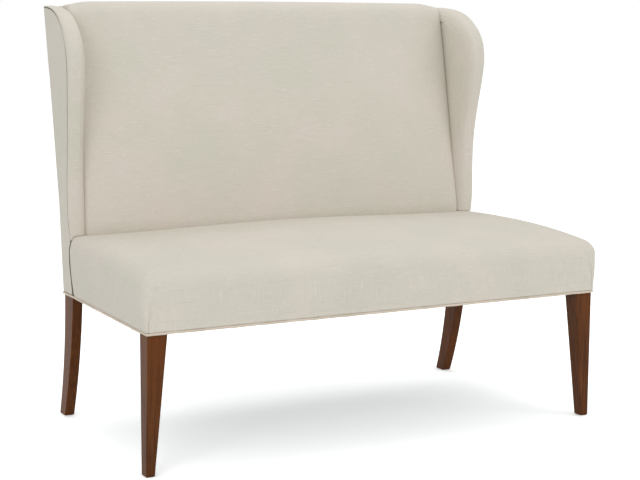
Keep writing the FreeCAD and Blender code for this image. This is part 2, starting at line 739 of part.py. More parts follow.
def seat_cushion():
    back = seat_back()
    outer = seat_form(0, skirt_bottom, back)
    hollow = seat_form(cloth, skirt_bottom - cloth, back + cloth)
    finish("seat_cover", feature("seat_cover_shape", outer.cut(hollow)))
    foam = seat_form(cloth + gap, skirt_bottom, back - gap)
    below = Part.makeBox(2 * size("overall_width"), 2 * size("overall_depth"), deck_height() - rail_bottom,
                         Vector(-size("overall_width"), -size("overall_depth"), rail_bottom))
    finish("seat_foam", feature("seat_foam_shape", foam.cut(below)))


def seat_room():
    """The seat's outer form, grown by the clearance, for whatever stands on it."""
    return seat_form(-gap, skirt_bottom, seat_back() + gap)


def back_cushion():
    room = seat_room()
    straps = frame_zone(webbing_front, post_top + gap)
    backing = frame_zone(lambda z: outside_back(z) - size("outer_cloth") - gap, size("overall_height"))
    low = back_bottom()
    hollow = back_form(cloth, low - cloth)
    cover = back_form(0, low).cut(hollow).cut(straps).cut(room)
    finish("inside_back_cover", feature("inside_back_cover_shape", cover))
    foam = back_form(cloth + gap, low).cut(straps).cut(backing).cut(room)
    finish("back_foam", feature("back_foam_shape", foam))


def webbing_front(height):
    """Where the back cushion may begin: clear of the webbing on the front of the back's rails."""
    level_share = math.cos(math.radians(size("back_rake")))
    return back_board_rear(height) - size("rail_thickness") - (webbing_rise() + gap) / level_share


def webbing_rise():
    """Two straps and their play, over the rails."""
    return 2 * (size("strap_thickness") + size("strap_play"))


def wings():
    room = seat_room()
    bottom = back_bottom()
    behind = frame_zone(lambda z: post_front(z) - gap, post_top + gap)
    backing = frame_zone(lambda z: outside_back(z) - size("outer_cloth") - gap, size("overall_height"))
    seam = [size("seam_waist_setback"), size("seam_setback"), size("seam_drop")]
    clear_seam = [setback - gap for setback in seam]
    for side, name in ((-1, "left"), (1, "right")):
        panel = slab(wing_outline(*seam, skirt_bottom, size("outer_cloth") + gap, 0), (-cloth, 0, 0))
        around = wing_outline(*clear_seam, skirt_bottom - spare, -spare, spare)
        recess = slab(around, (-spare - cloth - gap, 0, 0))
        shell = wing_form(0, bottom, True).cut(wing_form(cloth, bottom - spare, False)).cut(recess)
        cover = set_in_wing(shell, side).cut(behind).cut(room).cut(backing)
        finish("wing_cover_" + name, feature("wing_cover_shape_" + name, cover))
        finish("side_panel_" + name, feature("side_panel_shape_" + name, set_in_wing(panel, side)))

        pad = size("wing_padding")
        board_outer = size("wing_outer_padding")
        outline = wing_outline(pad, pad, pad, bottom, 0, -board_outer)
        board = slab(outline, (-size("wing_board_thickness"), 0, 0))
        board = set_in_wing(board, side).cut(frame_zone(post_front, wing_top)).cut(room)
        finish("wing_board_" + name, feature("wing_board_shape_" + name, board))

        around = wing_outline(pad - gap, pad - gap, pad - gap, bottom - spare, -spare, gap - board_outer)
        board_room = slab(around, (-size("wing_board_thickness") - 2 * gap, 0, 0))
        filling = wing_form(cloth + gap, bottom, False).cut(board_room)
        foam = set_in_wing(filling, side).cut(behind).cut(room).cut(backing)
        finish("wing_foam_" + name, feature("wing_foam_shape_" + name, foam))


def wing_form(inset, low, rounded):
    """The wing from a height up, rolled to the inside and eased to the outside, or the same form drawn in.

    The forms inside the cover have a bevel in place of the roll.
    """
    outline = wing_outline(inset, inset, inset, low, 0, -inset)
    plate = slab(outline, (2 * inset - size("wing_thickness"), 0, 0))
    rim = [middle(edge) for edge in outline[:-3]]

    def on_rim(edge):
        place = middle(edge)
        return any(math.hypot(place.y - other.y, place.z - other.z) < gap for other in rim)

    rolled = [edge for edge in plate.Edges if on_rim(edge) and middle(edge).x < -size("wing_thickness") / 2]
    radius = size("wing_roll") - inset
    plate = plate.makeFillet(radius, rolled) if rounded else plate.makeChamfer(radius, rolled)
    eased = [edge for edge in plate.Edges if on_rim(edge) and abs(middle(edge).x + inset) < gap]
    return plate.makeChamfer(size("wing_outer_bevel") - inset, eased)


def middle(edge):
    return edge.valueAt((edge.FirstParameter + edge.LastParameter) / 2)


# Webbing, outer cloth and trim

def deck_height():
    """Underside of the seat foam, on the webbing over the rails."""
    return rail_top + webbing_rise() + gap


def weave(rows, columns):
    """Straps along u at each (v, start, end) of the rows, woven with straps along v at each of the columns.

    Each strap is a zigzag line between its two levels, with its thickness above and below.
    """
    thick = size("strap_thickness")
    width = size("strap_width")
    ramp = width / 2 + size("strap_ramp")
    low = thick / 2 + size("strap_play")
    high = low + thick + size("strap_play")
    straps = []
    for along, own, others in ((0, rows, columns), (1, columns, rows)):
        for index, (place, start, end) in enumerate(own):
            centre = [(start, low)]
            for cross, other in enumerate(others):
                level = high if (index + cross + along) % 2 else low
                centre.append((other[0] - ramp, level))
                centre.append((other[0] + ramp, level))
            centre.append((end, low))
            above = [(s, z + thick / 2) for s, z in centre]
            below = [(s, z - thick / 2) for s, z in centre]
            outline = above + below[::-1]
            if along == 0:
                profile = [(s, place - width / 2, z) for s, z in outline]
                straps.append(slab(polygon(profile), (0, width, 0)))
            else:
                profile = [(place - width / 2, s, z) for s, z in outline]
                straps.append(slab(polygon(profile), (width, 0, 0)))
    return Part.makeCompound(straps)


def spread(start, end):
    """Middles of evenly spread straps between two limits, at about the pitch."""
    count = int((end - start) / size("strap_pitch"))
    step = (end - start) / count
    return [start + step * (index + 0.5) for index in range(count)]


def webbing():
    margin = size("strap_margin")
    near = leg_face + size("rail_setback") + margin
    far = rear_rail_line() + size("rail_thickness") / 2 - margin
    rows = []
    for y in spread(near, post_front(rail_top)):
        strap_rear = y + size("strap_width") / 2
        reach = side_rail_inner(strap_rear) + size("rail_thickness") - margin
        rows.append((y, -reach, reach))
    columns = [(x, near, far) for x in spread(-post_inside, post_inside)]
    seat_straps = weave(rows, columns)
    seat_straps.Placement = Placement(Vector(0, 0, rail_top), Rotation())
    finish("seat_webbing", feature("seat_webbing_shape", seat_straps))

    # the back's webbing lies on the raked front of the rails and slats
    rake = math.radians(size("back_rake"))
    low = lower_rail_span()[0]
    high = top_rail_span()[1]
    length = (high - low) / math.cos(rake)
    reach = post_inside - margin
    rows = [(v, -reach, reach) for v in spread(0, length)]
    columns = [(x, margin, length - margin) for x in spread(-reach, reach)]
    back_straps = weave(rows, columns)
    foot = Vector(0, back_board_rear(low) - size("rail_thickness"), low)
    back_straps.Placement = Placement(foot, Rotation(Vector(1, 0, 0), 90 - size("back_rake")))
    finish("back_webbing", feature("back_webbing_shape", back_straps))


def outer_cloth():
    """The outside back: one panel over the posts and rails, from the welt to under the crest."""
    heights = [skirt_bottom, bend, wing_top]
    inner = [(-side_skin, outside_back(z) - size("outer_cloth"), z) for z in heights]
    outer = [(-side_skin, outside_back(z), z) for z in heights]
    panel = slab(polygon(inner + outer[::-1]), (2 * side_skin, 0, 0))
    finish("outside_back_panel", feature("outside_back_shape", panel))


def base_welt():
    """Piping round the foot of the upholstery: round runs that meet in mitres at the legs and posts."""
    reach = welt_radius + gap
    wide = leg_outside + reach
    narrow = post_outside + reach
    near = leg_face - reach
    far = post_rear(rail_bottom) + reach
    right = [(wide, near), (wide, leg_back), (narrow, post_front(rail_bottom)), (narrow, far)]
    outline = [(0, near)] + right + [(-x, y) for x, y in reversed(right)] + [(0, near)]
    route = Part.makePolygon([Vector(x, y, welt_height) for x, y in outline])
    ring = Part.Wire(Part.makeCircle(welt_radius, Vector(0, near, welt_height), Vector(1, 0, 0)))
    mitred = 1                           # the sweep's kind of corner
    finish("base_welt", feature("base_welt_shape", route.makePipeShell([ring], True, False, mitred)))


def dust_cover():
    """Black cloth under the rails, notched round the four legs."""
    thick = size("dust_cover_thickness")
    clear = size("notch_gap")
    edge = size("rail_setback") + size("dust_cover_margin")
    wide = leg_outside - edge
    narrow = post_outside - edge
    near = leg_face + edge
    far = rear_rail_line() + size("rail_thickness") / 2 - size("dust_cover_margin")
    z = rail_bottom - thick - size("glue_gap")
    plan = [(-wide, near, z), (wide, near, z), (narrow, far, z), (-narrow, far, z)]
    blank = slab(polygon(plan), (0, 0, thick))
    for side in (-1, 1):
        notch_size = size("front_leg_size") + 2 * clear
        x = min(side * leg_inside, side * leg_outside) - clear
        notch = Part.makeBox(notch_size, notch_size, 2 * thick, Vector(x, leg_face - clear, z - thick / 2))
        x = min(side * post_inside, side * post_outside) - clear
        rear_notch = Part.makeBox(size("post_thickness") + 2 * clear, size("post_depth") + 2 * spare,
                                  2 * thick, Vector(x, post_front(rail_bottom) - spare, z - thick / 2))
        blank = blank.cut(notch).cut(rear_notch)
    finish("dust_cover", feature("dust_cover_shape", blank))


frame()
seat_cushion()
back_cushion()
wings()
webbing()
outer_cloth()
base_welt()
dust_cover()
doc.recompute()

# Every object has to be sound before anything is written
for item in doc.Objects:
    if "Invalid" in item.State or "Error" in item.State:
        raise RuntimeError("%s: %s" % (item.Label, item.State))
for piece in finished:
    if piece.Shape.isNull() or not piece.Shape.isValid() or not piece.Shape.Solids:
        raise RuntimeError("%s has no sound shape" % piece.Label)

os.makedirs("parts", exist_ok=True)
for piece in finished:
    piece.Shape.exportStep("parts/%s.step" % piece.Label)
    print("%-26s solids %d volume %.0f" % (piece.Label, len(piece.Shape.Solids), piece.Shape.Volume))
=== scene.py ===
import math

import bmesh
import bpy
import numpy as np
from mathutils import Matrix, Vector


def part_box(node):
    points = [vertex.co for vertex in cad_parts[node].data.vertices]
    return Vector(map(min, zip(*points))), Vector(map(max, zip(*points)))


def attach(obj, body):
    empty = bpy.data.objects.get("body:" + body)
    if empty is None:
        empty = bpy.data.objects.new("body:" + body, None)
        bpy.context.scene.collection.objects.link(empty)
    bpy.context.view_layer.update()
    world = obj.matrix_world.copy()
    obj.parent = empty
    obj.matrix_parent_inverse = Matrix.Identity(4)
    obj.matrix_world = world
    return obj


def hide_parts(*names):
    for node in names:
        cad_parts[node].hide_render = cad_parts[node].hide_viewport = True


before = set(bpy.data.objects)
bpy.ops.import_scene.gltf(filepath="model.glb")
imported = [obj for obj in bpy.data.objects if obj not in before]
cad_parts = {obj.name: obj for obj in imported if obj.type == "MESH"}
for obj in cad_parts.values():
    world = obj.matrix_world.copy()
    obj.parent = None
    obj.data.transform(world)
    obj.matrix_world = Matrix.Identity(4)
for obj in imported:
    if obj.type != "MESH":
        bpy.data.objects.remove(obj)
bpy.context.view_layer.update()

# A wing-back settee with a tight seat and back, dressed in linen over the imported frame.
# All sizes are in metres: X runs along the seat, Y to the back and Z up from the floor.

# Seat
FRONT = -0.381                # swell of the seat's front
WIDEST = 0.651                # swell of its sides, at the front
SEAT_DEPTH = 0.5775           # from its front to where its top meets the back
SEAM_Y = 0.2005               # its rear edge, tucked in behind the side seams
DECK = 0.4452                 # underside of its pad, on the webbing
SKIRT = 0.3457                # lower edge of all covers, on the piping
TOP_ROUND = 0.037             # rounding between its top and its sides
TOP_ROUND_LOSS = 0.016        # how much smaller that rounding is under the wings
CORNER_ROUND = 0.026          # its front corners, seen from above
PLEAT_HEIGHT = 0.098          # the front corners' pleats, from the piping up

# Legs, posts and rails
LEG_FACE = -0.373
LEG_BACK = -0.323
LEG_OUTSIDE = 0.635
LEG_BLOCK = 0.050             # a front leg's square block, each way
FOOT_WIDTH = 0.0225           # a front leg at the floor
FOOT_DEPTH = 0.030
POST_OUTSIDE = 0.617
POST_INSIDE = 0.590
POST_TOP = 1.085
POST_DEPTH = 0.067            # at the rails; 21 mm less at its top
TACKING_ROOM = 0.0033         # posts' rear faces, inside the outside back
SABRE_FOOT = 0.0635           # rear foot's heel, behind the post at the rails
SABRE_DEPTH = 0.040           # rear foot from front to rear
SABRE_BOW = 0.013             # hollow of the rear leg's arcs
RAIL_BOTTOM = 0.341
RAIL_TOP = 0.441

# Back and wings
HEIGHT = 1.113                # crest of the back
REAR = 0.381                  # outside back at the wings' top
WING_TOP = 1.098
BEND = 0.577                  # where the posts' rake changes
RAKE = math.tan(math.radians(10.3))
LOW_RAKE = math.tan(math.radians(4.1))
OUTER_CORNER = 0.6195         # outside back's corners, half the width there
FLARE = math.radians(4.36)    # each wing opens to the front by this
WING_THICK = 0.052            # at its rolled front edge
WING_INNER = 0.047            # behind the roll, where the inside back meets it
WAIST_HEIGHT = 0.75           # middle of the hollow in the wings' outer faces
WAIST_DEPTH = 0.0035          # depth of that hollow
BACK_DEPTH = 0.082            # from the inside back to the outside back, at the bend
CLOTH = 0.0012                # cloth with its padding of cotton
SEAM_DEPTH = 0.0060           # the side seam's two cloths round in this deep

# Piping round the foot
PIPING_HEIGHT = 0.34225
PIPING_RADIUS = 0.0031
PIPING_REACH = 0.0033         # its middle stands this far outside the legs

# The wing's edge and the side seam in side view, as (Y, Z): read from the photograph through its fitted
# camera and adjusted
WING_EDGE = [(0.1930, 0.480), (0.1935, 0.560), (0.1940, 0.640), (0.1890, 0.716), (0.1770, 0.790),
             (0.1640, 0.845), (0.1530, 0.898), (0.1475, 0.951), (0.1535, 0.992), (0.1750, 1.030),
             (0.2060, 1.0565), (0.2390, 1.0755), (0.2740, 1.0870), (0.3090, 1.0935), (0.3460, 1.0970),
             (0.3770, 1.0978)]
SEAM_BY_SEAT = [(0.1905, SKIRT), (0.1955, 0.400), (0.1985, 0.465), (0.1990, 0.560), (0.2000, 0.620)]
SEAM = SEAM_BY_SEAT + [(0.1960, 0.700), (0.1885, 0.760), (0.1780, 0.820), (0.1650, 0.885), (0.1585, 0.940),
                       (0.1640, 0.978), (0.1800, 1.010), (0.2080, 1.0460), (0.2350, 1.0660), (0.2650, 1.0790),
                       (0.3020, 1.0885), (0.3420, 1.0930), (0.3785, 1.0952)]


# Lines of the frame

def outside_back(z):
    """Y of the outside back: two raked straight lines that meet at the bend of the posts."""
    at_bend = REAR - (WING_TOP - BEND) * RAKE
    return at_bend + np.where(z > BEND, (z - BEND) * RAKE, (z - BEND) * LOW_RAKE)


def post_rear(z):
    """Y of a post's rear face, a cloth's thickness and the tacking room inside the outside back."""
    return outside_back(z) - TACKING_ROOM


def post_front(z):
    """Y of a post's front face: 67 mm before its rear face at the rails, 46 mm at its top."""
    share = (z - RAIL_BOTTOM) / (POST_TOP - RAIL_BOTTOM)
    return post_rear(z) - POST_DEPTH + share * 0.021


def piping_line(y):
    """X of the piping's middle along a side: straight by the leg, then closing in evenly to the post."""
    share = np.clip((y - LEG_BACK) / (float(post_front(RAIL_BOTTOM)) - LEG_BACK), 0, 1)
    return PIPING_REACH + LEG_OUTSIDE + (POST_OUTSIDE - LEG_OUTSIDE) * share


def smooth(x):
    """A step from 0 to 1 that starts and ends level: three times the square less twice the cube."""
    x = np.clip(x, 0, 1)
    return x * x * (3 - 2 * x)


def bell(distance, width):
    """A bump of height 1: e to the minus square of the distance over the width."""
    return np.exp(-(distance / width) ** 2)


def moved_in(points, by):
    """Points moved level towards the settee's middle by their own amounts."""
    return points - np.stack([np.sign(points[..., 0]) * by, 0 * by, 0 * by], axis=-1)


# Meshes

def grid_faces(rows, columns, wrap=False, first=0):
    """Four-cornered faces over a grid of points; with wrap its last column joins its first."""
    index = np.arange(rows * columns).reshape(rows, columns) + first
    if wrap:
        index = np.concatenate([index, index[:, :1]], axis=1)
    faces = np.stack([index[:-1, :-1], index[1:, :-1], index[1:, 1:], index[:-1, 1:]], axis=-1)
    return faces.reshape(-1, 4).tolist()


def fan(ring, middle):
    """Triangles from a closed ring of points to one in its middle."""
    return np.stack([ring, np.roll(ring, -1), np.full(len(ring), middle)], axis=1).tolist()


def border(rows, columns):
    """The border of a grid of points, once round."""
    index = np.arange(rows * columns).reshape(rows, columns)
    return np.concatenate([index[0, :], index[1:, -1], index[-1, -2::-1], index[-2:0:-1, 0]])


def shut_sheet(points):
    """A grid of points whose border is closed by a flat fan."""
    rows, columns = points.shape[:2]
    ring = border(rows, columns)
    flat = points.reshape(-1, 3)
    faces = grid_faces(rows, columns) + fan(ring, len(flat))
    return np.vstack([flat, flat[ring].mean(axis=0)]), faces


def shut_tube(rings):
    """Rings of points joined in turn, with a fan to the middle of the first and of the last."""
    sections, count = rings.shape[:2]
    flat = rings.reshape(-1, 3)
    first = np.arange(count)
    last = first[::-1] + (sections - 1) * count
    faces = grid_faces(sections, count, wrap=True) + fan(first, len(flat)) + fan(last, len(flat) + 1)
    return np.vstack([flat, rings[0].mean(axis=0), rings[-1].mean(axis=0)]), faces


def slab(outer, through):
    """A thin closed sheet: a grid of points, its copy moved through by a vector, and a strip round them."""
    rows, columns = outer.shape[:2]
    ring = border(rows, columns)
    count = rows * columns
    strip = np.stack([ring, np.roll(ring, -1), np.roll(ring, -1) + count, ring + count], axis=1).tolist()
    faces = grid_faces(rows, columns) + grid_faces(rows, columns, first=count) + strip
    return np.vstack([outer.reshape(-1, 3), (outer + through).reshape(-1, 3)]), faces


def new_object(name, data):
    """An object in the scene for a mesh, a lamp or a camera."""
    thing = bpy.data.objects.new(name, data)
    bpy.context.scene.collection.objects.link(thing)
    return thing


def new_piece(name, shape, material, replaced):
    """A smooth mesh object on the settee's one body, its faces turned outwards, in the place of CAD nodes."""
    points, faces = shape
    mesh = bpy.data.meshes.new(name)
    mesh.from_pydata(points.tolist(), [], faces)
    turned = bmesh.new()
    turned.from_mesh(mesh)
    bmesh.ops.recalc_face_normals(turned, faces=turned.faces)
    turned.to_mesh(mesh)
    turned.free()
    mesh.polygons.foreach_set("use_smooth", np.ones(len(mesh.polygons), dtype=bool))
    mesh.materials.append(material)
    piece = new_object(name, mesh)
    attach(piece, "root")
    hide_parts(*replaced)
    return piece


def mark_seam_thread_and_shade(piece, share):
    """Marks how much of the side seam's sunken thread and its painted shade lies at each point, from 0 to 1.
    """
    marks = piece.data.attributes.new("seam_thread_and_shade", "FLOAT", "POINT")
    marks.data.foreach_set("value", share.astype(np.float32))


def read_all(values, key):
    """The places (key "co") or the normals (key "vector") of all of a mesh's points, as one array."""
    flat = np.empty(len(values) * 3)
    values.foreach_get(key, flat)
    return flat.reshape(-1, 3)


def write_points(mesh, points):
    """Puts all points back into a mesh."""
    mesh.vertices.foreach_set("co", points.ravel())
    mesh.update()


def curve_through(points, count):
    """A smooth line through points at even steps: a cubic on each chord, with slopes from the neighbours."""
    points = np.asarray(points, float)
    chord = np.linalg.norm(np.diff(points, axis=0), axis=1)
    knots = np.concatenate([[0], np.cumsum(chord)])
    slope = np.gradient(points, knots, axis=0)
    at = np.linspace(0, knots[-1], 40 * len(points))
    span = np.clip(np.searchsorted(knots, at, side="right") - 1, 0, len(chord) - 1)
    h = chord[span][:, None]
    t = ((at - knots[span]) / chord[span])[:, None]
    line = (2 * t ** 3 - 3 * t ** 2 + 1) * points[span] + (t ** 3 - 2 * t ** 2 + t) * h * slope[span]
    line = line + (3 * t ** 2 - 2 * t ** 3) * points[span + 1] + (t ** 3 - t ** 2) * h * slope[span + 1]
    run = np.concatenate([[0], np.cumsum(np.linalg.norm(np.diff(line, axis=0), axis=1))])
    even = np.linspace(0, run[-1], count)
    return np.stack([np.interp(even, run, line[:, k]) for k in range(2)], axis=1)


def rimmed_sheet(inner_u, inner_v, rows):
    """A rectangular sheet with a rim of rows that will be folded over its edges.

    For each point of the grid: its place in the rectangle (-1 to 1 both ways), its row in the rim (0 inside
    the rectangle), the direction of the fold there, which is square to an edge along it and turns evenly from
    one edge to the next through a corner, and the side of the middle that it lies on, both ways.
    """
    step = np.arange(1, rows + 1) / rows
    u = np.concatenate([-1 - step[::-1], inner_u, 1 + step])
    v = np.concatenate([-1 - step[::-1], inner_v, 1 + step])
    grid_u, grid_v = np.meshgrid(u, v, indexing="ij")
    past_u = np.clip(np.abs(grid_u) - 1, 0, None)
    past_v = np.clip(np.abs(grid_v) - 1, 0, None)
    row = np.rint(np.maximum(past_u, past_v) * rows).astype(int)
    tiny = 1e-9
    turn = np.where(past_u >= past_v, past_v / (past_u + tiny), 2 - past_u / (past_v + tiny)) * math.pi / 4
    return np.clip(grid_u, -1, 1), np.clip(grid_v, -1, 1), row, turn, np.sign(grid_u), np.sign(grid_v)


def fold_outward(row, turn, power):
    """How far a rim's point goes out both ways: cosine and sine of its direction, to a power below 1 for a
    squarer corner."""
    level = np.where((row > 0) & (np.cos(turn) > 1e-6), np.abs(np.cos(turn)), 0)
    across = np.where((row > 0) & (np.sin(turn) > 1e-6), np.abs(np.sin(turn)), 0)
    return np.where(level > 0, level ** power, 0), np.where(across > 0, across ** power, 0)


# Cloth over foam

FOAM_PUSH = 0.0013            # a cover starts this far inside its place
FOAM_HOLD = 0.3               # how firmly the foam keeps the cloth where it is, from 0 to 1
FOAM_PRESSURE = 40.0
THREAD_STIFFNESS = 30.0
SWELL_LIMIT = 0.0034          # no point of a cover moves further than this
SETTLING_FRAMES = 20


def settle_cover(piece, held):
    """The cover's cloth simulation: it starts a little inside its place and the foam pushes it out.

    Held points, which are tacked, sewn or tucked in, stay. The rest swells under an even pressure, against
    the pull of its threads and the foam that it is bedded on. The length of each move is limited smoothly, to
    the limit times the hyperbolic tangent of the length over the limit.
    """
    mesh = piece.data
    normals = read_all(mesh.vertex_normals, "vector")
    start = read_all(mesh.vertices, "co") - normals * FOAM_PUSH * (1 - held)[:, None]
    write_points(mesh, start)
    group = piece.vertex_groups.new(name="held")
    group.add(np.flatnonzero(held > 0.5).tolist(), 1.0, "REPLACE")
    group.add(np.flatnonzero(held <= 0.5).tolist(), FOAM_HOLD, "REPLACE")
    cloth = piece.modifiers.new("cloth", "CLOTH")
    cloth.settings.vertex_group_mass = group.name
    cloth.settings.quality = 4
    cloth.settings.tension_stiffness = THREAD_STIFFNESS
    cloth.settings.compression_stiffness = THREAD_STIFFNESS
    cloth.settings.use_pressure = True
    cloth.settings.uniform_pressure_force = FOAM_PRESSURE
    cloth.settings.effector_weights.gravity = 0.0
    cloth.point_cache.frame_start = 1
    cloth.point_cache.frame_end = SETTLING_FRAMES
    for frame_number in range(1, SETTLING_FRAMES + 1):
        bpy.context.scene.frame_set(frame_number)
    swollen = piece.evaluated_get(bpy.context.evaluated_depsgraph_get()).data
    move = read_all(swollen.vertices, "co") - start
    piece.modifiers.remove(cloth)
    piece.vertex_groups.remove(group)
    bpy.context.scene.frame_set(1)
    length = np.linalg.norm(move, axis=1)[:, None] + 1e-9
    write_points(mesh, start + move * SWELL_LIMIT * np.tanh(length / SWELL_LIMIT) / length)


# Materials

def linear(code):
    """An sRGB hex value as linear red, green, blue and a full alpha."""
    parts = [int(code[k:k + 2], 16) / 255 for k in (1, 3, 5)]
    return [c / 12.92 if c <= 0.04045 else ((c + 0.055) / 1.055) ** 2.4 for c in parts] + [1.0]


def add(tree, kind, inputs, **settings):
    """One node with its settings. Its inputs are plain values, sockets, or nodes for their first output."""
    node = tree.nodes.new("ShaderNode" + kind)
    for key, value in settings.items():
        setattr(node, key, value)
    for key, value in inputs.items():
        if isinstance(value, bpy.types.Node):
            value = value.outputs[0]
        if isinstance(value, bpy.types.NodeSocket):
            tree.links.new(value, node.inputs[key])
        else:
            node.inputs[key].default_value = value
    return node


def empty_material(name):
    """A new material and its node tree, with no nodes in it yet."""
    material = bpy.data.materials.new(name)
    material.use_nodes = True
    material.node_tree.nodes.clear()
    return material, material.node_tree


# A Mix node of colours has its share, its two colours and its result at these places
SHARE, FIRST, SECOND, RESULT = 0, 6, 7, 2
# A Wave node at this scale has one band to a metre
BANDS_PER_METRE = 0.314
# Unevenness of the linen's yarns: rates of its noise across and along a thread, the noise where a spot starts
# and where it is full, how much of its tint shows, the tint, and the spot's height
SLUBS = (620.0, 27.0, 0.63, 0.72, 0.40, "#e9e4da", 0.8)
THIN_PLACES = (540.0, 19.0, 0.37, 0.28, 0.17, "#a89e8b", -0.4)


def oatmeal_linen(name, lean, cool, warm):
    """Oatmeal linen in plain weave, piece-dyed and washed.

    Uneven flax yarns give light slubs and thin dark places along both threads, a dry face without gloss, and
    a broad drift between a cooler and a warmer oatmeal. Yarns of such a linen lie about 0.9 mm apart, and are
    drawn 1.6 mm apart, so that some of the weave shows. Slubs are 15 to 40 mm long. Threads run along X, and
    along the slope that lean gives.
    """
    material, tree = empty_material(name)
    place = add(tree, "TexCoord", {}).outputs["Object"]
    upright = add(tree, "Mapping", {"Vector": place, "Rotation": (-lean, 0, 0)})
    normal = add(tree, "NewGeometry", {}).outputs["Normal"]
    facing = add(tree, "VectorMath", {0: normal}, operation="ABSOLUTE")
    facing = add(tree, "SeparateXYZ", {0: facing})
    drift = add(tree, "TexNoise", {"Vector": upright, "Scale": 5.5, "Detail": 2.0, "Roughness": 0.5})
    drift = add(tree, "MapRange", {"Value": drift, "From Min": 0.35, "From Max": 0.65})
    colour = add(tree, "Mix", {SHARE: drift, FIRST: linear(cool), SECOND: linear(warm)}, data_type="RGBA")
    rise = 0.0
    for axis in range(3):
        # a thread along this axis doesn't show where the cloth faces along it
        lies = add(tree, "MapRange", {"Value": facing.outputs[axis], "From Min": 0.9, "From Max": 0.6})
        yarns = add(tree, "TexWave", {"Vector": upright, "Scale": BANDS_PER_METRE / 0.0016, "Distortion": 0.5,
                                      "Detail": 1.0}, bands_direction="XYZ"[axis])
        rise = add(tree, "Math", {0: yarns, 1: 0.3, 2: rise}, operation="MULTIPLY_ADD")
        for across, along, start, full, share, tint, height in (SLUBS, THIN_PLACES):
            rates = [across, across, across]
            rates[axis] = along
            stretched = add(tree, "Mapping", {"Vector": upright, "Scale": rates})
            spot = add(tree, "TexNoise", {"Vector": stretched, "Scale": 1.0, "Detail": 1.0})
            spot = add(tree, "MapRange", {"Value": spot, "From Min": start, "From Max": full})
            spot = add(tree, "Math", {0: spot, 1: lies}, operation="MULTIPLY")
            shown = add(tree, "Math", {0: spot, 1: share}, operation="MULTIPLY")
            colour = add(tree, "Mix", {SHARE: shown, FIRST: colour.outputs[RESULT], SECOND: linear(tint)},
                         data_type="RGBA")
            rise = add(tree, "Math", {0: spot, 1: height, 2: rise}, operation="MULTIPLY_ADD")
    # painted shade: the side seams' darker flax thread, and the shade of the joint that it sinks into, are
    # mixed into the colour here
    seam_thread_and_shade = add(tree, "Attribute", {}, attribute_name="seam_thread_and_shade").outputs["Fac"]
    colour = add(tree, "Mix", {SHARE: seam_thread_and_shade, FIRST: colour.outputs[RESULT], SECOND: linear("#6f675a")},
                 data_type="RGBA")
    bump = add(tree, "Bump", {"Height": rise, "Strength": 0.3, "Distance": 0.0006})
    surface = add(tree, "BsdfPrincipled", {"Base Color": colour.outputs[RESULT], "Roughness": 0.9,
                                           "Specular IOR Level": 0.2, "Sheen Weight": 0.1,
                                           "Sheen Roughness": 0.5, "Normal": bump})
    add(tree, "OutputMaterial", {"Surface": surface})
    return material


def stained_beech():
    """Steamed beech, stained red-brown and sealed with a thin satin lacquer.

    Straight fine grain runs down each leg, short dark flecks lie in it, and the lacquer gives soft, dim
    reflections. Grain lines are about 3 mm apart and flecks 1 mm wide and 12 mm long, twice the real size.
    """
    material, tree = empty_material("stained_beech")
    place = add(tree, "TexCoord", {}).outputs["Object"]
    grain = add(tree, "Mapping", {"Vector": place, "Scale": (170.0, 170.0, 4.0)})
    grain = add(tree, "TexNoise", {"Vector": grain, "Scale": 1.0, "Detail": 3.0, "Roughness": 0.6,
                                   "Distortion": 0.4})
    grain = add(tree, "MapRange", {"Value": grain, "From Min": 0.35, "From Max": 0.68})
    fleck = add(tree, "Mapping", {"Vector": place, "Scale": (900.0, 900.0, 70.0)})
    fleck = add(tree, "TexNoise", {"Vector": fleck, "Scale": 1.0, "Detail": 1.0})
    dot = add(tree, "MapRange", {"Value": fleck, "From Min": 0.56, "From Max": 0.70, "To Max": 0.45})
    cloud = add(tree, "Mapping", {"Vector": place, "Scale": (14.0, 14.0, 5.0)})
    cloud = add(tree, "TexNoise", {"Vector": cloud, "Scale": 1.0, "Detail": 2.0})
    cloud = add(tree, "MapRange", {"Value": cloud, "From Min": 0.4, "From Max": 0.7, "To Max": 0.45})
    colour = add(tree, "Mix", {SHARE: grain, FIRST: linear("#4c2c17"), SECOND: linear("#693f23")},
                 data_type="RGBA")
    for share, tint in ((dot, "#2d180c"), (cloud, "#6e3d1b")):
        colour = add(tree, "Mix", {SHARE: share, FIRST: colour.outputs[RESULT], SECOND: linear(tint)},
                     data_type="RGBA")
    dull = add(tree, "MapRange", {"Value": fleck, "From Min": 0.3, "From Max": 0.7, "To Min": 0.34,
                                  "To Max": 0.46})
    bump = add(tree, "Bump", {"Height": fleck, "Strength": 0.1, "Distance": 0.0003})
    surface = add(tree, "BsdfPrincipled", {"Base Color": colour.outputs[RESULT], "Roughness": dull,
                                           "IOR": 1.48, "Specular IOR Level": 0.07, "Normal": bump})
    add(tree, "OutputMaterial", {"Surface": surface})
    return material


def sawn_beech(name, rates):
    """Sawn beech inside the frame, left bare: pale, dull, with straight grain along the piece and saw marks.

    The rates are how many bands of grain lie in a metre along the three axes, fewest along the piece.
    """
    material, tree = empty_material(name)
    place = add(tree, "TexCoord", {}).outputs["Object"]
    grain = add(tree, "Mapping", {"Vector": place, "Scale": rates})
    grain = add(tree, "TexNoise", {"Vector": grain, "Scale": 1.0, "Detail": 4.0, "Roughness": 0.6,
                                   "Distortion": 0.5})
    grain = add(tree, "MapRange", {"Value": grain, "From Min": 0.3, "From Max": 0.7})
    marks = add(tree, "TexNoise", {"Vector": place, "Scale": 300.0, "Detail": 1.0})
    colour = add(tree, "Mix", {SHARE: grain, FIRST: linear("#a9855a"), SECOND: linear("#c9a97c")},
                 data_type="RGBA")
    bump = add(tree, "Bump", {"Height": marks, "Strength": 0.2, "Distance": 0.0004})
    surface = add(tree, "BsdfPrincipled", {"Base Color": colour.outputs[RESULT], "Roughness": 0.75,
                                           "Normal": bump})
    add(tree, "OutputMaterial", {"Surface": surface})
    return material


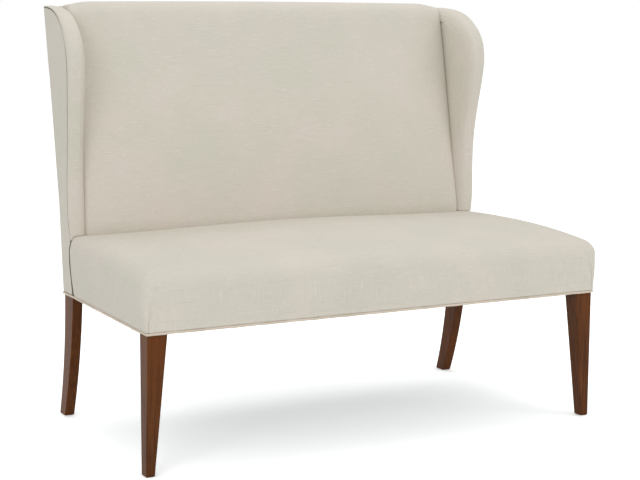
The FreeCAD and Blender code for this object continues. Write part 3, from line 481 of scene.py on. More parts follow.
def zinc_plated_steel():
    """Zinc-plated steel bolts, barrel-plated: grey metal with a soft cloudiness of a few millimetres."""
    material, tree = empty_material("zinc_plated_steel")
    place = add(tree, "TexCoord", {}).outputs["Object"]
    cloud = add(tree, "TexNoise", {"Vector": place, "Scale": 160.0, "Detail": 3.0})
    colour = add(tree, "Mix", {SHARE: cloud, FIRST: linear("#8d9092"), SECOND: linear("#c3c6c8")},
                 data_type="RGBA")
    dull = add(tree, "MapRange", {"Value": cloud, "From Min": 0.3, "From Max": 0.7, "To Min": 0.34,
                                  "To Max": 0.5})
    surface = add(tree, "BsdfPrincipled", {"Base Color": colour.outputs[RESULT], "Roughness": dull,
                                           "Metallic": 1.0})
    add(tree, "OutputMaterial", {"Surface": surface})
    return material


def plain_woven(name, light, dark, pitch):
    """A coarse plain weave of thick threads, as in jute webbing: ridges along all axes, a pitch apart."""
    material, tree = empty_material(name)
    place = add(tree, "TexCoord", {}).outputs["Object"]
    weave = 0.0
    for direction in "XYZ":
        ridge = add(tree, "TexWave", {"Vector": place, "Scale": BANDS_PER_METRE / pitch, "Distortion": 0.6,
                                      "Detail": 1.0}, bands_direction=direction)
        weave = add(tree, "Math", {0: ridge, 1: weave}, operation="ADD")
    share = add(tree, "MapRange", {"Value": weave, "From Min": 0.6, "From Max": 2.4})
    colour = add(tree, "Mix", {SHARE: share, FIRST: linear(dark), SECOND: linear(light)}, data_type="RGBA")
    bump = add(tree, "Bump", {"Height": weave, "Strength": 0.4, "Distance": 0.0005})
    surface = add(tree, "BsdfPrincipled", {"Base Color": colour.outputs[RESULT], "Roughness": 0.9,
                                           "Normal": bump})
    add(tree, "OutputMaterial", {"Surface": surface})
    return material


SEAT_LINEN = oatmeal_linen("oatmeal_linen_seat", 0.0, "#cfcbbe", "#d5cdc2")
BACK_LINEN = oatmeal_linen("oatmeal_linen_back", math.radians(10.3), "#cfcbbe", "#d5cdc2")
PIPING_LINEN = oatmeal_linen("oatmeal_linen_piping", 0.0, "#cdbfae", "#dccdbd")
LEG_WOOD = stained_beech()


# Seat

def seat_half_width(y):
    """Half the seat's width: the widest less a straight taper, which starts 34 mm behind its front."""
    run = np.clip(y - FRONT - 0.034, 0, None)
    return WIDEST - 0.0345 * run - 0.004 * run / SEAT_DEPTH


def seat_top(x, y):
    """Height of the seat without its rounded edges.

    From front to back it is two parabolas that meet level at six tenths, lower at the front. Across, it is
    crowned by the square of a cosine.
    """
    share = np.clip((y - FRONT) / SEAT_DEPTH, 0, 1)
    before = 0.505 - 0.027 * np.clip(1 - share / 0.6, 0, 1) ** 2
    behind = 0.505 - 0.004 * ((share - 0.6) / 0.4) ** 2
    crown = 0.005 + 0.007 * np.sin(math.pi * share ** 0.8) + 0.005 * share
    across = np.cos(np.clip(np.abs(x) / 0.60, 0, 1) * math.pi / 2) ** 2
    return np.where(share < 0.6, before, behind) + crown * across


def top_round(y):
    """Radius of the rounding between the seat's top and sides, less by a smooth step towards the wings."""
    return TOP_ROUND - TOP_ROUND_LOSS * smooth((y + 0.120) / 0.270)


def seat_surface(x, y):
    """Height of the seat's rounded top: its top less the drop of a quarter circle beside front and sides."""
    radius = top_round(y)
    beside = np.clip(radius - (seat_half_width(y) - np.abs(x)), 0, None)
    before = np.clip(radius - (y - FRONT), 0, None)
    past = np.clip((beside ** 4 + before ** 4) ** 0.25, 0, 0.9995 * radius)
    return seat_top(x, y) - radius + np.sqrt(radius ** 2 - past ** 2)


def pinched(points):
    """Where wing, side cloth and seat are sewn together they are drawn in, by bells over height and depth."""
    x, y, z = points[..., 0], points[..., 1], points[..., 2]
    joint_y, joint_z = 0.196, 0.486
    rise = np.where(z > joint_z, bell(z - joint_z, 0.042), bell(z - joint_z, 0.014))
    dent = 0.0050 * rise * bell(y - joint_y, 0.022) * smooth((np.abs(x) - 0.595) / 0.020)
    return moved_in(points, dent)


def front_pleats(points, row_turn, side, reach):
    """The front corners' folds: the surplus cloth is laid in one pleat on the front, beside each corner.

    Reach is half the seat's width at a point's height. The fold starts 5 mm beside the corner at the piping
    and leans inwards, 3 mm for each 10 mm up. The cloth dips at it as a narrow bell, stands a little proud
    past it, and dips again faintly 24 mm beside it, lower down. The fold ends in a small round pucker.
    """
    height = points[..., 2]
    along = reach - np.abs(points[..., 0]) - 0.005 - 0.30 * (height - SKIRT)
    top = SKIRT + PLEAT_HEIGHT
    below = smooth((top - height) / 0.030)
    fold = -0.0030 * bell(along, 0.0026) * below
    lap = 0.0016 * np.where(along > 0, np.exp(-along / 0.010), 0) * below
    second = -0.0014 * bell(along - 0.024, 0.0026) * smooth((SKIRT + 0.065 - height) / 0.02)
    pucker = -0.0036 * bell(along - 0.001, 0.0060) * bell(height - top, 0.0055)
    out = (fold + lap + second + pucker) * smooth(row_turn / 0.6)
    return points + np.stack([side * np.cos(row_turn) * out, -np.sin(row_turn) * out, 0 * out], axis=-1)


def side_ends(points):
    """The seat's sides end in the side seams: a smooth step eases them in 3 mm, and one dives at the seam."""
    seam = np.array(SEAM_BY_SEAT)
    past = points[..., 1] - np.interp(points[..., 2], seam[:, 1], seam[:, 0])
    dive = 0.0030 * smooth(past / 0.028 + 1.1) + SEAM_DEPTH * smooth(past / 0.0034 + 0.8)
    return moved_in(points, dive * smooth((np.abs(points[..., 0]) - 0.605) / 0.010))


def seat():
    """Tight seat: a sheet over the pad and down its sides, which swell and draw in to the piping.

    The rim's rows go round the top edge as a quarter circle, down the side as a parabola, under the edge and
    up its inside to the deck. The corners are rounder above than at the legs, where the cloth is pleated.
    """
    round_rows, side_rows, under_rows = 12, 30, 3
    rows = round_rows + side_rows + under_rows
    first = math.asin(1 - CORNER_ROUND / TOP_ROUND)
    angle = first + (math.pi / 2 - first) * np.arange(1, round_rows + 1) / round_rows
    off_round = TOP_ROUND * np.sin(angle) - (TOP_ROUND - CORNER_ROUND)
    side_shares = np.arange(1, side_rows + 1) / side_rows
    down = np.concatenate([np.zeros(round_rows + 1), side_shares, np.ones(under_rows)])
    off = np.concatenate([[0], off_round, np.full(side_rows + under_rows, CORNER_ROUND)])
    drawn = 0.12 * down + 0.88 * down ** 2
    wall = np.concatenate([np.zeros(rows - 2), [0.0010, 0.0026, 0.0030]])
    up = np.concatenate([np.zeros(rows), [1.0]])

    even = np.linspace(-1, 1, 121) * math.pi / 2 * 0.92
    across = np.sin(even) / math.sin(even[-1])
    place_x, place_y, row, turn, side, fore = rimmed_sheet(across, np.linspace(-1, 1, 70), rows)
    power = np.where(fore < 0, 0.80 - 0.50 * down[row], 0.22)
    out_x, out_y = fold_outward(row, turn, power)
    near, far = FRONT + CORNER_ROUND, SEAM_Y - CORNER_ROUND
    plan_y = near + (place_y + 1) / 2 * (far - near)
    y = plan_y + fore * out_y * (off[row] - np.where(fore < 0, 0.0032, 0.0) * drawn[row] - wall[row])
    on_seat = np.clip(y, FRONT, SEAM_Y)
    half = seat_half_width(on_seat)
    draw = half - piping_line(on_seat) - 0.0010
    x = place_x * (half - CORNER_ROUND) + side * out_x * (off[row] - draw * drawn[row] - wall[row])
    shoulder = seat_top(x, plan_y + fore * out_y * CORNER_ROUND) - top_round(y)
    z = np.where(down[row] > 0, shoulder + (SKIRT - shoulder) * down[row], seat_surface(x, on_seat))
    z = z + (DECK - SKIRT) * up[row]

    piece = new_piece("seat_upholstery", shut_sheet(np.stack([x, y, z], axis=-1)), SEAT_LINEN,
                      ("seat_cover", "seat_foam"))
    tacked = smooth((down[row] - 0.86) / 0.08)
    tucked = smooth((y - SEAM_Y + 0.030) / 0.025)
    held = np.append(np.maximum(tacked, tucked).ravel(), 1.0)
    settle_cover(piece, held)

    points = read_all(piece.data.vertices, "co")
    outside = (row > 0) & (fore < 0) & (wall[row] == 0)
    corner = points[:-1].reshape(x.shape + (3,))
    folded = front_pleats(corner, np.where(outside, turn, 0), side, WIDEST - draw * drawn[row])
    corner = side_ends(pinched(np.where(outside[..., None], folded, corner)))
    write_points(piece.data, np.vstack([corner.reshape(-1, 3), points[-1]]))


# Inside back

def back_front(z):
    """Y of the inside back beside the wings: a straight line at the upper rake."""
    return outside_back(BEND) - BACK_DEPTH + (z - BEND) * RAKE


def to_wing(points, side):
    """Points drawn with a wing's outer face on X = 0, turned by the flare about the rear corner's line.

    The turn is the usual one about an axis: the part along the axis stays, the rest is turned in its plane.
    """
    top = np.array([0, REAR, WING_TOP])
    foot = np.array([0, float(outside_back(SKIRT)), SKIRT])
    axis = (top - foot) / np.linalg.norm(top - foot)
    arm = points - top
    stays = axis * (arm @ axis)[..., None] * (1 - math.cos(FLARE))
    turned = arm * math.cos(FLARE) + np.cross(axis, arm) * math.sin(FLARE) + stays
    return (turned + top + np.array([OUTER_CORNER, 0, 0])) * np.array([side, 1, 1])


def waist_hollow(z):
    """How far the wings' outer faces are drawn in: a bell over height, half way from the seat to the nose."""
    return WAIST_DEPTH * bell(z - WAIST_HEIGHT, 0.13)


def wing_inner(y, z):
    """Half the room between the wings: it widens by the flare with the distance before the rear corner."""
    rake = REAR - float(outside_back(SKIRT))
    lean = rake / math.hypot(rake, WING_TOP - SKIRT)
    ahead = (REAR - y) * math.sqrt(1 - lean ** 2) + (z - WING_TOP) * lean
    return OUTER_CORNER + math.tan(FLARE) * ahead - WING_INNER / math.cos(FLARE)


def inside_back():
    """Tight inside back and crest: a crowned sheet that rolls in beside the wings and over the crest.

    Its front is the raked line less a crown, which is a flattened parabola across times a sine upwards. Its
    rim is a quarter circle and then runs straight back. Over the crest it rounds down to the rear again.
    """
    round_rows, deep_rows = 12, 16
    rows = round_rows + deep_rows
    angle = np.arange(0, round_rows + 1) / round_rows * math.pi / 2
    fall = np.concatenate([1 - np.cos(angle), np.ones(deep_rows)])
    out = np.concatenate([np.sin(angle), np.ones(deep_rows)])
    deep = np.concatenate([np.zeros(round_rows + 1), np.arange(1, deep_rows + 1) / deep_rows])
    across, upwards = np.linspace(-1, 1, 141), np.linspace(-1, 1, 90)
    place_x, place_z, row, turn, side, rise = rimmed_sheet(across, upwards, rows)
    out_x, out_z = fold_outward(row, turn, 0.8)
    side_round, crest_round, foot_round = 0.012, 0.030, 0.030
    low, high = 0.474, HEIGHT
    above = rise > 0
    level_round = np.where(above, crest_round, foot_round)
    inner_z = low + foot_round + (place_z + 1) / 2 * (high - crest_round - low - foot_round)
    z = inner_z + rise * out_z * out[row] * level_round
    round_here = side_round * out_x ** 2 + level_round * out_z ** 2
    front_y = back_front(z)
    half = wing_inner(front_y + side_round, z) - 0.0002
    x = place_x * (half - side_round) + side * out_x * out[row] * side_round
    share = np.clip((z - low) / (high - low), 0, 1)
    flattened = 1 - np.clip(np.abs(x) / half, 0, 1) ** 2.6
    crown = (0.007 + 0.0085 * np.sin(math.pi * share)) * flattened
    foot = 0.010 * (1 - smooth((z - low) / 0.055))
    full_depth = outside_back(np.minimum(z, WING_TOP)) - 0.0036 - front_y
    rolled = front_y - crown + foot + fall[row] * round_here * np.where(row > 0, 1, 0)
    straight = front_y + round_here + deep[row] * (full_depth - round_here) + (foot - crown) * (1 - deep[row])
    y = np.where(deep[row] > 0, straight, rolled)
    # the crest rounds down to the rear, and its ends fall to the wings
    z = z - 0.011 * (above * out_z) * smooth((deep[row] - 0.45) / 0.55) ** 2
    ends = 0.0025 * (x / 0.5) ** 2 + 0.0075 * smooth((np.abs(x) - 0.515) / 0.055)
    z = z - ends * smooth((z - 0.98) / 0.11)
    x = np.sign(x) * np.minimum(np.abs(x), wing_inner(np.maximum(y, front_y), z) - 0.0002)

    piece = new_piece("inside_back_upholstery", shut_sheet(np.stack([x, y, z], axis=-1)), BACK_LINEN,
                      ("inside_back_cover", "back_foam"))
    tucked = smooth((row - round_rows * 0.6) / (round_rows * 0.4))
    tacked = smooth((deep[row] - 0.5) / 0.3)
    held = np.append(np.where(above & (out_z > out_x), tacked, tucked).ravel(), 1.0)
    settle_cover(piece, held)


# Wings

def wing(side, name):
    """Rolled wing: a loop of cloth round foam, carried along the wing's edge from seat to rear corner.

    The loop starts in the side seam, turns the outer corner as a quarter circle as large as the seam's
    distance allows, crosses the edge with a slight crown, turns the inner corner as a quarter ellipse, and
    runs down the inner face, fuller in its middle by a half sine, to behind the inside back. It closes
    through the wing.
    """
    stations = 240
    edge = curve_through(WING_EDGE, stations)
    tangent = np.gradient(edge, axis=0)
    tangent /= np.linalg.norm(tangent, axis=1)[:, None]
    inward = np.stack([tangent[:, 1], -tangent[:, 0]], axis=1)
    to_seam = np.linalg.norm(curve_through(SEAM, 900)[None] - edge[:, None], axis=2).min(axis=1)
    gap = np.clip(to_seam, 0.0030, 0.0240)[:, None]

    # the loop, as its distance behind the edge and its place across the wing's thickness
    outer = np.clip(gap - 0.0020, 0.0010, 0.010)
    inner_across, inner_behind = 0.024, 0.036
    lip = np.linspace(0, 1, 6)[None]
    quarter = np.linspace(0, math.pi / 2, 12)[None]
    band = np.linspace(0, 1, 8)[None, 1:-1]
    behind_lip = gap - np.minimum(gap - outer, 0.0020) * lip
    across_lip = -SEAM_DEPTH * (1 - np.sqrt(1 - (1 - lip) ** 2)) + 0 * gap
    behind_outer = outer * (1 - np.sin(quarter))
    across_outer = -outer * (1 - np.cos(quarter))
    behind_band = -0.0012 * np.sin(band * math.pi) + 0 * gap
    across_band = -outer - (WING_THICK - outer - inner_across) * band
    behind_inner = inner_behind * (1 - np.cos(quarter)) + 0 * gap
    across_inner = -(WING_THICK - inner_across) - inner_across * np.sin(quarter) + 0 * gap
    behind = np.concatenate([behind_lip, behind_outer[:, 1:], behind_band, behind_inner], axis=1)
    across = np.concatenate([across_lip, across_outer[:, 1:], across_band, across_inner], axis=1)
    y = edge[:, :1] + inward[:, :1] * behind
    z = edge[:, 1:] + inward[:, 1:] * behind

    # the inner face, from the round to a line behind the inside back, and the way back through the wing
    tuck_z = np.clip(edge[:, 1:], 0, 1.088)
    tuck_y = back_front(tuck_z) + 0.030
    run = np.linspace(0, 1, 26)[None, 1:]
    face_y = y[:, -1:] + (tuck_y - y[:, -1:]) * run
    face_z = z[:, -1:] + (tuck_z - z[:, -1:]) * run
    wide_face = np.clip((tuck_y - y[:, -1:]) / 0.09, 0, 1)
    fuller = 0.0030 * np.sin(math.pi * np.clip(run * 1.1, 0, 1)) * wide_face
    seam_y = edge[:, :1] + inward[:, :1] * gap
    seam_z = edge[:, 1:] + inward[:, 1:] * gap
    y = np.concatenate([y, face_y, face_y[:, -1:], face_y[:, -1:], seam_y], axis=1)
    z = np.concatenate([z, face_z, face_z[:, -1:], face_z[:, -1:], seam_z], axis=1)
    recess = np.full_like(seam_y, -SEAM_DEPTH - 0.0010)
    face = (WING_THICK - WING_INNER) * run - WING_THICK - fuller
    board_side = recess - 0.0255
    x = np.concatenate([across, face, board_side, recess, recess], axis=1)
    x = x - waist_hollow(z) * smooth((x + WING_THICK - 0.004) / 0.030)
    points = to_wing(np.stack([x, y, z], axis=-1), side)

    # its lowest stretch stands on the seat's shoulder, and the cloth creases just above the joint
    ground = seat_surface(np.abs(points[:1, :, 0]), np.clip(points[:1, :, 1], FRONT, SEAM_Y)) + 0.0004
    lift = smooth((0.560 - points[..., 2]) / 0.080)
    points[..., 2] += lift * np.clip(ground - points[:1, :, 2], -0.05, 0.05)
    points = pinched(points)
    reach = smooth((np.abs(points[..., 0]) - 0.600) / 0.008) * smooth((0.215 - points[..., 1]) / 0.01)
    points[..., 1] += 0.0016 * bell(points[..., 2] - 0.4985, 0.0034) * reach
    piece = new_piece("wing_upholstery_" + name, shut_tube(points), BACK_LINEN,
                      ("wing_cover_" + name, "wing_foam_" + name))
    # painted shade: the lip in the side seam carries the seam's darker thread and the shade of its gap,
    # fading out across the lip
    seam_thread_and_shade = np.zeros(points.shape[:2])
    seam_thread_and_shade[:, :lip.size] = 1 - lip
    mark_seam_thread_and_shade(piece, np.append(seam_thread_and_shade.ravel(), [0, 0]))


# Flat cloths

def close_at_ends(count, share, ends):
    """Shares from 0 to 1, in even steps, that lie closer together over the given share at both ends."""
    middle = np.linspace(share, 1 - share, count)[1:-1]
    return np.concatenate([np.linspace(0, share, ends), middle, np.linspace(1 - share, 1, ends)])


def blended_patch(left, right, foot, top, s, t):
    """Points between four border lines: two ruled surfaces' sum less the flat one through the corners."""
    s = s[None, :, None]
    t = t[:, None, None]
    ruled = left[:, None] * (1 - s) + right[:, None] * s + foot[None] * (1 - t) + top[None] * t
    low_corners = (1 - s) * (1 - t) * left[0] + s * (1 - t) * right[0]
    return ruled - (low_corners + (1 - s) * t * left[-1] + s * t * right[-1])


def side_panel(side, name):
    """Flat outer cloth of the wing and of the side of the back.

    It is a patch between the side seam, the rear corner, the wing's top and the foot, rounded into the seams
    as a quarter ellipse over its last 2 mm, and drawn in at the foot to the piping.
    """
    line = curve_through(SEAM, 400)
    shoulder = int(np.argmin(np.abs(line[:, 1] - 1.016)))
    wide, tall = 0.17, 0.74
    s = close_at_ends(46, 0.030, 9)
    t = close_at_ends(130, 0.008, 9)
    left = curve_through(line[:shoulder + 1:4], 1001)[np.rint(t * 1000).astype(int)]
    top = curve_through(line[shoulder::4], 1001)[np.rint(s * 1000).astype(int)]
    rear_z = SKIRT + (top[-1, 1] - SKIRT) * t
    right = np.stack([outside_back(rear_z) - 0.0008, rear_z], axis=1)
    patch = blended_patch(left, right, left[0] + (right[0] - left[0]) * s[:, None], top, s, t)
    s, t = np.meshgrid(s, t)
    from_edge = np.minimum(np.minimum(s, 1 - s) * wide, np.minimum(t, 1 - t) * tall)
    rounded = np.clip(1 - from_edge / 0.0022, 0, 1)
    tucked = (SEAM_DEPTH + (0.0012 - SEAM_DEPTH) * smooth(s)) * (1 - np.sqrt(1 - rounded ** 2))
    x = 0.0007 * smooth(from_edge / 0.05) - tucked - waist_hollow(patch[..., 1]) * (1 - s)
    x = x - 0.0032 * (1 - s) * smooth((0.44 - patch[..., 1]) / 0.09)
    outer = pinched(to_wing(np.concatenate([x[..., None], patch], axis=-1), side))
    piece = new_piece("side_cloth_" + name, slab(outer, np.array([-side * CLOTH, 0, 0])), BACK_LINEN,
                      ("side_panel_" + name,))
    # painted shade: the panel's edges along the side seam carry the seam's darker thread and the shade of its
    # gap
    from_seam = np.minimum(s * wide, (1 - t) * tall)
    seam_thread_and_shade = 1 - smooth((from_seam - 0.0012) / 0.0016)
    mark_seam_thread_and_shade(piece, np.concatenate([seam_thread_and_shade.ravel(), seam_thread_and_shade.ravel()]))


def outside_back_panel():
    """Outside back: one stretched cloth over the rear of the posts and rails, turned in at its edges.

    It follows the two raked lines, eased over their bend by a bell.
    """
    heights = np.linspace(SKIRT, WING_TOP - 0.0005, 130)
    grid_z, grid_x = np.meshgrid(heights, np.linspace(-1, 1, 120), indexing="ij")
    half = OUTER_CORNER - 0.0002
    from_edge = np.minimum((1 - np.abs(grid_x)) * half, np.minimum(grid_z - SKIRT, WING_TOP - grid_z))
    eased = 0.0018 * bell(grid_z - BEND, 0.03) * (1 - grid_x ** 8)
    y = outside_back(grid_z) - 0.0018 * (1 - smooth(from_edge / 0.005)) + eased
    outer = np.stack([grid_x * half, y, grid_z], axis=-1)
    piece = new_piece("outside_back_cloth", slab(outer, np.array([0, -CLOTH, 0])), BACK_LINEN,
                      ("outside_back_panel",))


def dust_cloth():
    """Dust cloth under the seat: a stretched sheet, hemmed, that hollows between its rows of staples.

    Its sides follow the rails. Between them it sags as a flat dome, and each staple near its edge dents it.
    """
    low, high = (np.array(corner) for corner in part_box("dust_cover"))
    share, grid_x = np.meshgrid(np.linspace(0, 1, 90), np.linspace(-1, 1, 180), indexing="ij")
    y = low[1] + (high[1] - low[1]) * share
    half = high[0] - (LEG_OUTSIDE - POST_OUTSIDE) * share
    x = grid_x * half
    from_side = (1 - np.abs(grid_x)) * half
    from_end = np.minimum(share, 1 - share) * (high[1] - low[1])
    from_edge = np.minimum(from_side, from_end)
    around = np.where(from_side < from_end, y, x)
    staples = 0.0006 * np.cos(around * 2 * math.pi / 0.045) ** 8 * bell(from_edge - 0.009, 0.006)
    sag = 0.0022 * (1 - grid_x ** 4) * (1 - (2 * share - 1) ** 4) * smooth(from_edge / 0.05)
    hem = 0.0004 * smooth((0.016 - from_edge) / 0.002)
    z = high[2] - 0.0012 - sag + staples - hem
    outer = np.stack([x, y, z], axis=-1)
    piece = new_piece("under_seat_dust_cloth", slab(outer, np.array([0, 0, 0.0005])), DUST_CLOTH,
                      ("dust_cover",))


# Piping

def turned_route(corners, radius, steps):
    """A closed level line through corners, each turned as a parabola that leaves both of its runs smoothly.

    The runs between them have a point every 8 mm.
    """
    corners = np.asarray(corners, float)
    before = np.roll(corners, 1, axis=0) - corners
    after = np.roll(corners, -1, axis=0) - corners
    before /= np.linalg.norm(before, axis=1)[:, None]
    after /= np.linalg.norm(after, axis=1)[:, None]
    start = (corners + before * radius)[:, None]
    end = (corners + after * radius)[:, None]
    t = np.linspace(0, 1, steps)[None, :, None]
    turns = (1 - t) ** 2 * start + 2 * t * (1 - t) * corners[:, None] + t ** 2 * end
    lines = []
    for turn, following in zip(turns, np.roll(turns, -1, axis=0)):
        run = following[0] - turn[-1]
        count = max(2, int(np.linalg.norm(run) / 0.008))
        lines += [turn, turn[-1] + run * (np.arange(1, count) / count)[:, None]]
    return np.concatenate(lines)


def base_piping():
    """Self piping round the foot of the upholstery: a cord in a strip of linen, a tube round a level line.

    It wavers up and down by tenths of a millimetre, as hand-tacked piping does.
    """
    wide, narrow = LEG_OUTSIDE + PIPING_REACH, POST_OUTSIDE + PIPING_REACH
    near, far = LEG_FACE - PIPING_REACH, float(post_rear(RAIL_BOTTOM)) + PIPING_REACH
    right = [(wide, near), (wide, LEG_BACK), (narrow, float(post_front(RAIL_BOTTOM))), (narrow, far)]
    route = turned_route(right + [(-x, y) for x, y in right[::-1]], 0.006, 9)
    ahead = np.roll(route, -1, axis=0) - np.roll(route, 1, axis=0)
    ahead /= np.linalg.norm(ahead, axis=1)[:, None]
    out = np.stack([ahead[:, 1], -ahead[:, 0]], axis=1)
    run = np.concatenate([[0], np.cumsum(np.linalg.norm(np.diff(route, axis=0), axis=1))])
    waver = 0.00025 * np.sin(run * 61.0) + 0.0002 * np.sin(run * 143.0 + 1.0)
    angle = np.linspace(0, 2 * math.pi, 14, endpoint=False)
    level = PIPING_RADIUS * np.cos(angle)
    x = route[:, :1] + out[:, :1] * level
    y = route[:, 1:] + out[:, 1:] * level
    z = (PIPING_HEIGHT + waver)[:, None] + PIPING_RADIUS * np.sin(angle) + 0 * x
    rings = np.stack([x, y, z], axis=-1)
    rings = np.concatenate([rings, rings[:1]])
    last = (len(rings) - 1) * len(angle)
    faces = np.array(grid_faces(len(rings), len(angle), wrap=True))
    faces = np.where(faces >= last, faces - last, faces)
    tube = rings[:-1].reshape(-1, 3), faces.tolist()
    new_piece("base_piping", tube, PIPING_LINEN, ("base_welt",))


# Legs

def foot_bevel(z):
    """How much a leg is smaller all round near the floor: its foot is eased over 2.5 mm by two chamfers."""
    return np.interp(z, [0, 0.0010, 0.0025], [0.0022, 0.0009, 0])


def eased_rectangles(x_low, x_high, y_low, y_high, z, easing):
    """Level rings of rectangles whose corners are quarter circles of four chords, as a sanded arris is."""
    angle = np.concatenate([np.linspace(0, math.pi / 2, 5) + k * math.pi / 2 for k in range(4)])
    right = np.array([1, 0, 0, 1]).repeat(5)
    rear = np.array([1, 1, 0, 0]).repeat(5)
    sides = (x_low, x_high, y_low, y_high, z)
    x_low, x_high, y_low, y_high, z = [(np.asarray(place) + 0 * z)[:, None] for place in sides]
    x = np.where(right, x_high - easing, x_low + easing) + easing * np.cos(angle)
    y = np.where(rear, y_high - easing, y_low + easing) + easing * np.sin(angle)
    return np.stack([x, y, z + 0 * x], axis=-1)


def wooden_leg(name, rings, replaced):
    """A leg's mesh, with normals weighted by area, so that its faces look flat between eased arrises."""
    piece = new_piece(name, shut_tube(rings), LEG_WOOD, (replaced,))
    weighted = piece.modifiers.new("flat faces", "WEIGHTED_NORMAL")
    weighted.weight = 100


def front_leg(side, name):
    """Square block above and a straight taper below to a small foot that stands out, with eased arrises."""
    z = np.array([0, 0.0010, 0.0025, 0.08, 0.16, 0.24, 0.32, RAIL_BOTTOM - 0.001, RAIL_BOTTOM, 0.40,
                  RAIL_TOP])
    up = np.clip((z - 0.0025) / (RAIL_BOTTOM - 0.0025), 0, 1)
    bevel = foot_bevel(z)
    outside = LEG_OUTSIDE + 0.005 * (1 - up)
    width = FOOT_WIDTH + (LEG_BLOCK - FOOT_WIDTH) * up
    near = LEG_FACE + 0.010 * (1 - up)
    depth = FOOT_DEPTH + (LEG_BLOCK - FOOT_DEPTH) * up
    middle = side * (outside - width / 2)
    rings = eased_rectangles(middle - width / 2 + bevel, middle + width / 2 - bevel, near + bevel,
                             near + depth - bevel, z, 0.0016)
    wooden_leg("front_leg_wood_" + name, rings, "front_leg_" + name)


def bowed(z, foot_y, rail_y, bow):
    """Y on the circle through foot, rail's underside, and their chord's middle moved forward by bow."""
    half_chord = math.hypot(rail_y - foot_y, RAIL_BOTTOM) / 2
    radius = (half_chord ** 2 + bow ** 2) / (2 * bow)
    square = np.array([RAIL_BOTTOM, foot_y - rail_y]) / (2 * half_chord)
    middle = np.array([(foot_y + rail_y) / 2, RAIL_BOTTOM / 2]) + square * (radius - bow)
    return middle[0] - np.sqrt(np.clip(radius ** 2 - (z - middle[1]) ** 2, 0, None))


def rear_post(side, name):
    """Sabre leg and raked post in one: front and rear are arcs below the rails and straight lines above."""
    upper = [0.45, BEND, 0.80, POST_TOP]
    z = np.concatenate([[0, 0.0010, 0.0025], np.linspace(0.012, RAIL_BOTTOM, 26), upper])
    rail_rear, rail_front = float(post_rear(RAIL_BOTTOM)), float(post_front(RAIL_BOTTOM))
    foot_rear = rail_rear + SABRE_FOOT
    rear_arc = bowed(z, foot_rear, rail_rear, SABRE_BOW)
    front_arc = bowed(z, foot_rear - SABRE_DEPTH, rail_front, SABRE_BOW)
    rear = np.where(z < RAIL_BOTTOM, rear_arc, post_rear(z))
    front = np.where(z < RAIL_BOTTOM, front_arc, post_front(z))
    bevel = foot_bevel(z)
    middle = side * (POST_INSIDE + POST_OUTSIDE) / 2
    half = (POST_OUTSIDE - POST_INSIDE) / 2
    rings = eased_rectangles(middle - half + bevel, middle + half - bevel, front + bevel, rear - bevel, z,
                             0.0018)
    wooden_leg("rear_leg_wood_" + name, rings, "rear_post_" + name)


# Pieces inside the frame keep their CAD shapes, and get their finishes here

RAIL_BEECH = sawn_beech("sawn_beech_across", (5, 40, 40))
SIDE_BEECH = sawn_beech("sawn_beech_front_to_back", (40, 5, 40))
SLAT_BEECH = sawn_beech("sawn_beech_upright", (40, 40, 5))
JUTE = plain_woven("jute_webbing", "#b08d5c", "#7d5f3a", 0.004)
DUST_CLOTH = plain_woven("black_dust_cloth", "#29292d", "#161618", 0.003)
FINISHES = {"front_rail": RAIL_BEECH, "rear_rail": RAIL_BEECH, "back_lower_rail": RAIL_BEECH,
            "back_top_rail": RAIL_BEECH, "side_rail_left": SIDE_BEECH, "side_rail_right": SIDE_BEECH,
            "corner_block_front_left": SIDE_BEECH, "corner_block_front_right": SIDE_BEECH,
            "corner_block_rear_left": SIDE_BEECH, "corner_block_rear_right": SIDE_BEECH,
            "back_slat_left": SLAT_BEECH, "back_slat_right": SLAT_BEECH, "wing_board_left": SLAT_BEECH,
            "wing_board_right": SLAT_BEECH, "corner_bolts": zinc_plated_steel(), "seat_webbing": JUTE,
            "back_webbing": JUTE}


# Studio

def seen_as_it_is(tree):
    """A share that is 1 for rays from the camera, from reflections and through glass, and otherwise 0."""
    rays = add(tree, "LightPath", {})
    seen = add(tree, "Math", {0: rays.outputs["Is Camera Ray"], 1: rays.outputs["Is Glossy Ray"]},
               operation="MAXIMUM")
    return add(tree, "Math", {0: seen, 1: rays.outputs["Is Transmission Ray"]}, operation="MAXIMUM")


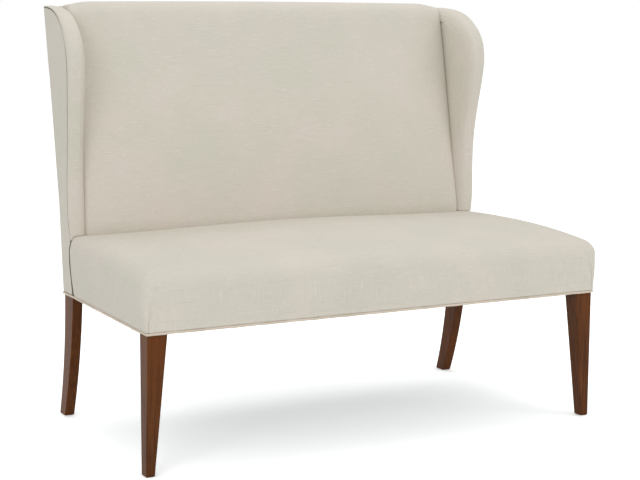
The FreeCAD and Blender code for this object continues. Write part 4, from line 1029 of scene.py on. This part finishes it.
def studio_floor():
    """A wide white floor that keeps the settee's shadow.

    To the camera and in reflections it also glows and reflects once more, so that it is white where nothing
    shades it and the shadow is as deep as on a lit white floor.
    """
    material, tree = empty_material("white_studio_floor")
    paint = add(tree, "BsdfDiffuse", {"Color": linear("#f2f5f4")})
    bright = add(tree, "BsdfDiffuse", {"Color": linear("#b0b2b2")})
    glow = add(tree, "Emission", {"Color": (1, 1, 1, 1), "Strength": 0.24})
    lifted = add(tree, "AddShader", {0: add(tree, "AddShader", {0: paint, 1: bright}), 1: glow})
    shown = add(tree, "MixShader", {0: seen_as_it_is(tree), 1: paint, 2: lifted})
    add(tree, "OutputMaterial", {"Surface": shown})
    mesh = bpy.data.meshes.new("studio_floor")
    reach, below = 30, -0.0005
    corners = [(-reach, -reach, below), (reach, -reach, below), (reach, reach, below), (-reach, reach, below)]
    mesh.from_pydata(corners, [], [(0, 1, 2, 3)])
    mesh.materials.append(material)
    new_object("studio_floor", mesh)


def white_surroundings():
    """Even light from all round, plain white to the camera and in reflections."""
    world = bpy.data.worlds.new("white_surroundings")
    world.use_nodes = True
    tree = world.node_tree
    tree.nodes.clear()
    light = add(tree, "Background", {"Color": (1, 1, 1, 1), "Strength": 0.70})
    white = add(tree, "Background", {"Color": (1, 1, 1, 1), "Strength": 1.0})
    shown = add(tree, "MixShader", {0: seen_as_it_is(tree), 1: light, 2: white})
    add(tree, "OutputWorld", {"Surface": shown})
    bpy.context.scene.world = world


def softbox(name, place, target, size, power):
    """A square area lamp turned to a point."""
    light = bpy.data.lights.new(name, "AREA")
    light.size = size
    light.energy = power
    stand = new_object(name, light)
    stand.location = place
    stand.rotation_euler = (Vector(target) - Vector(place)).to_track_quat("-Z", "Y").to_euler()


def photograph_camera():
    """The photograph's view: its place, turn and lens were fitted to edges measured on the photograph."""
    lens = bpy.data.cameras.new("photograph")
    lens.lens = 88.16
    lens.sensor_width = 36.0
    lens.sensor_fit = "HORIZONTAL"
    view = new_object("photograph", lens)
    view.location = (-1.9412, -3.6890, 1.0520)
    view.rotation_euler = (math.radians(90 - 7.87), 0, math.radians(-27.89))
    bpy.context.scene.camera = view


seat()
inside_back()
for side, name in ((-1, "left"), (1, "right")):
    wing(side, name)
    side_panel(side, name)
    front_leg(side, name)
    rear_post(side, name)
outside_back_panel()
dust_cloth()
base_piping()
for node, finish in FINISHES.items():
    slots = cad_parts[node].data.materials
    slots.clear()
    slots.append(finish)

studio_floor()
white_surroundings()
softbox("key_softbox", (-3.2, -3.0, 2.4), (0, 0, 0.6), 2.0, 38)
softbox("fill_softbox", (2.6, -3.2, 1.8), (0, 0, 0.6), 2.4, 28)
softbox("top_softbox", (0.2, 0.7, 3.4), (0, 0, 0.4), 2.4, 23)
photograph_camera()
bpy.context.scene.view_settings.view_transform = "Standard"
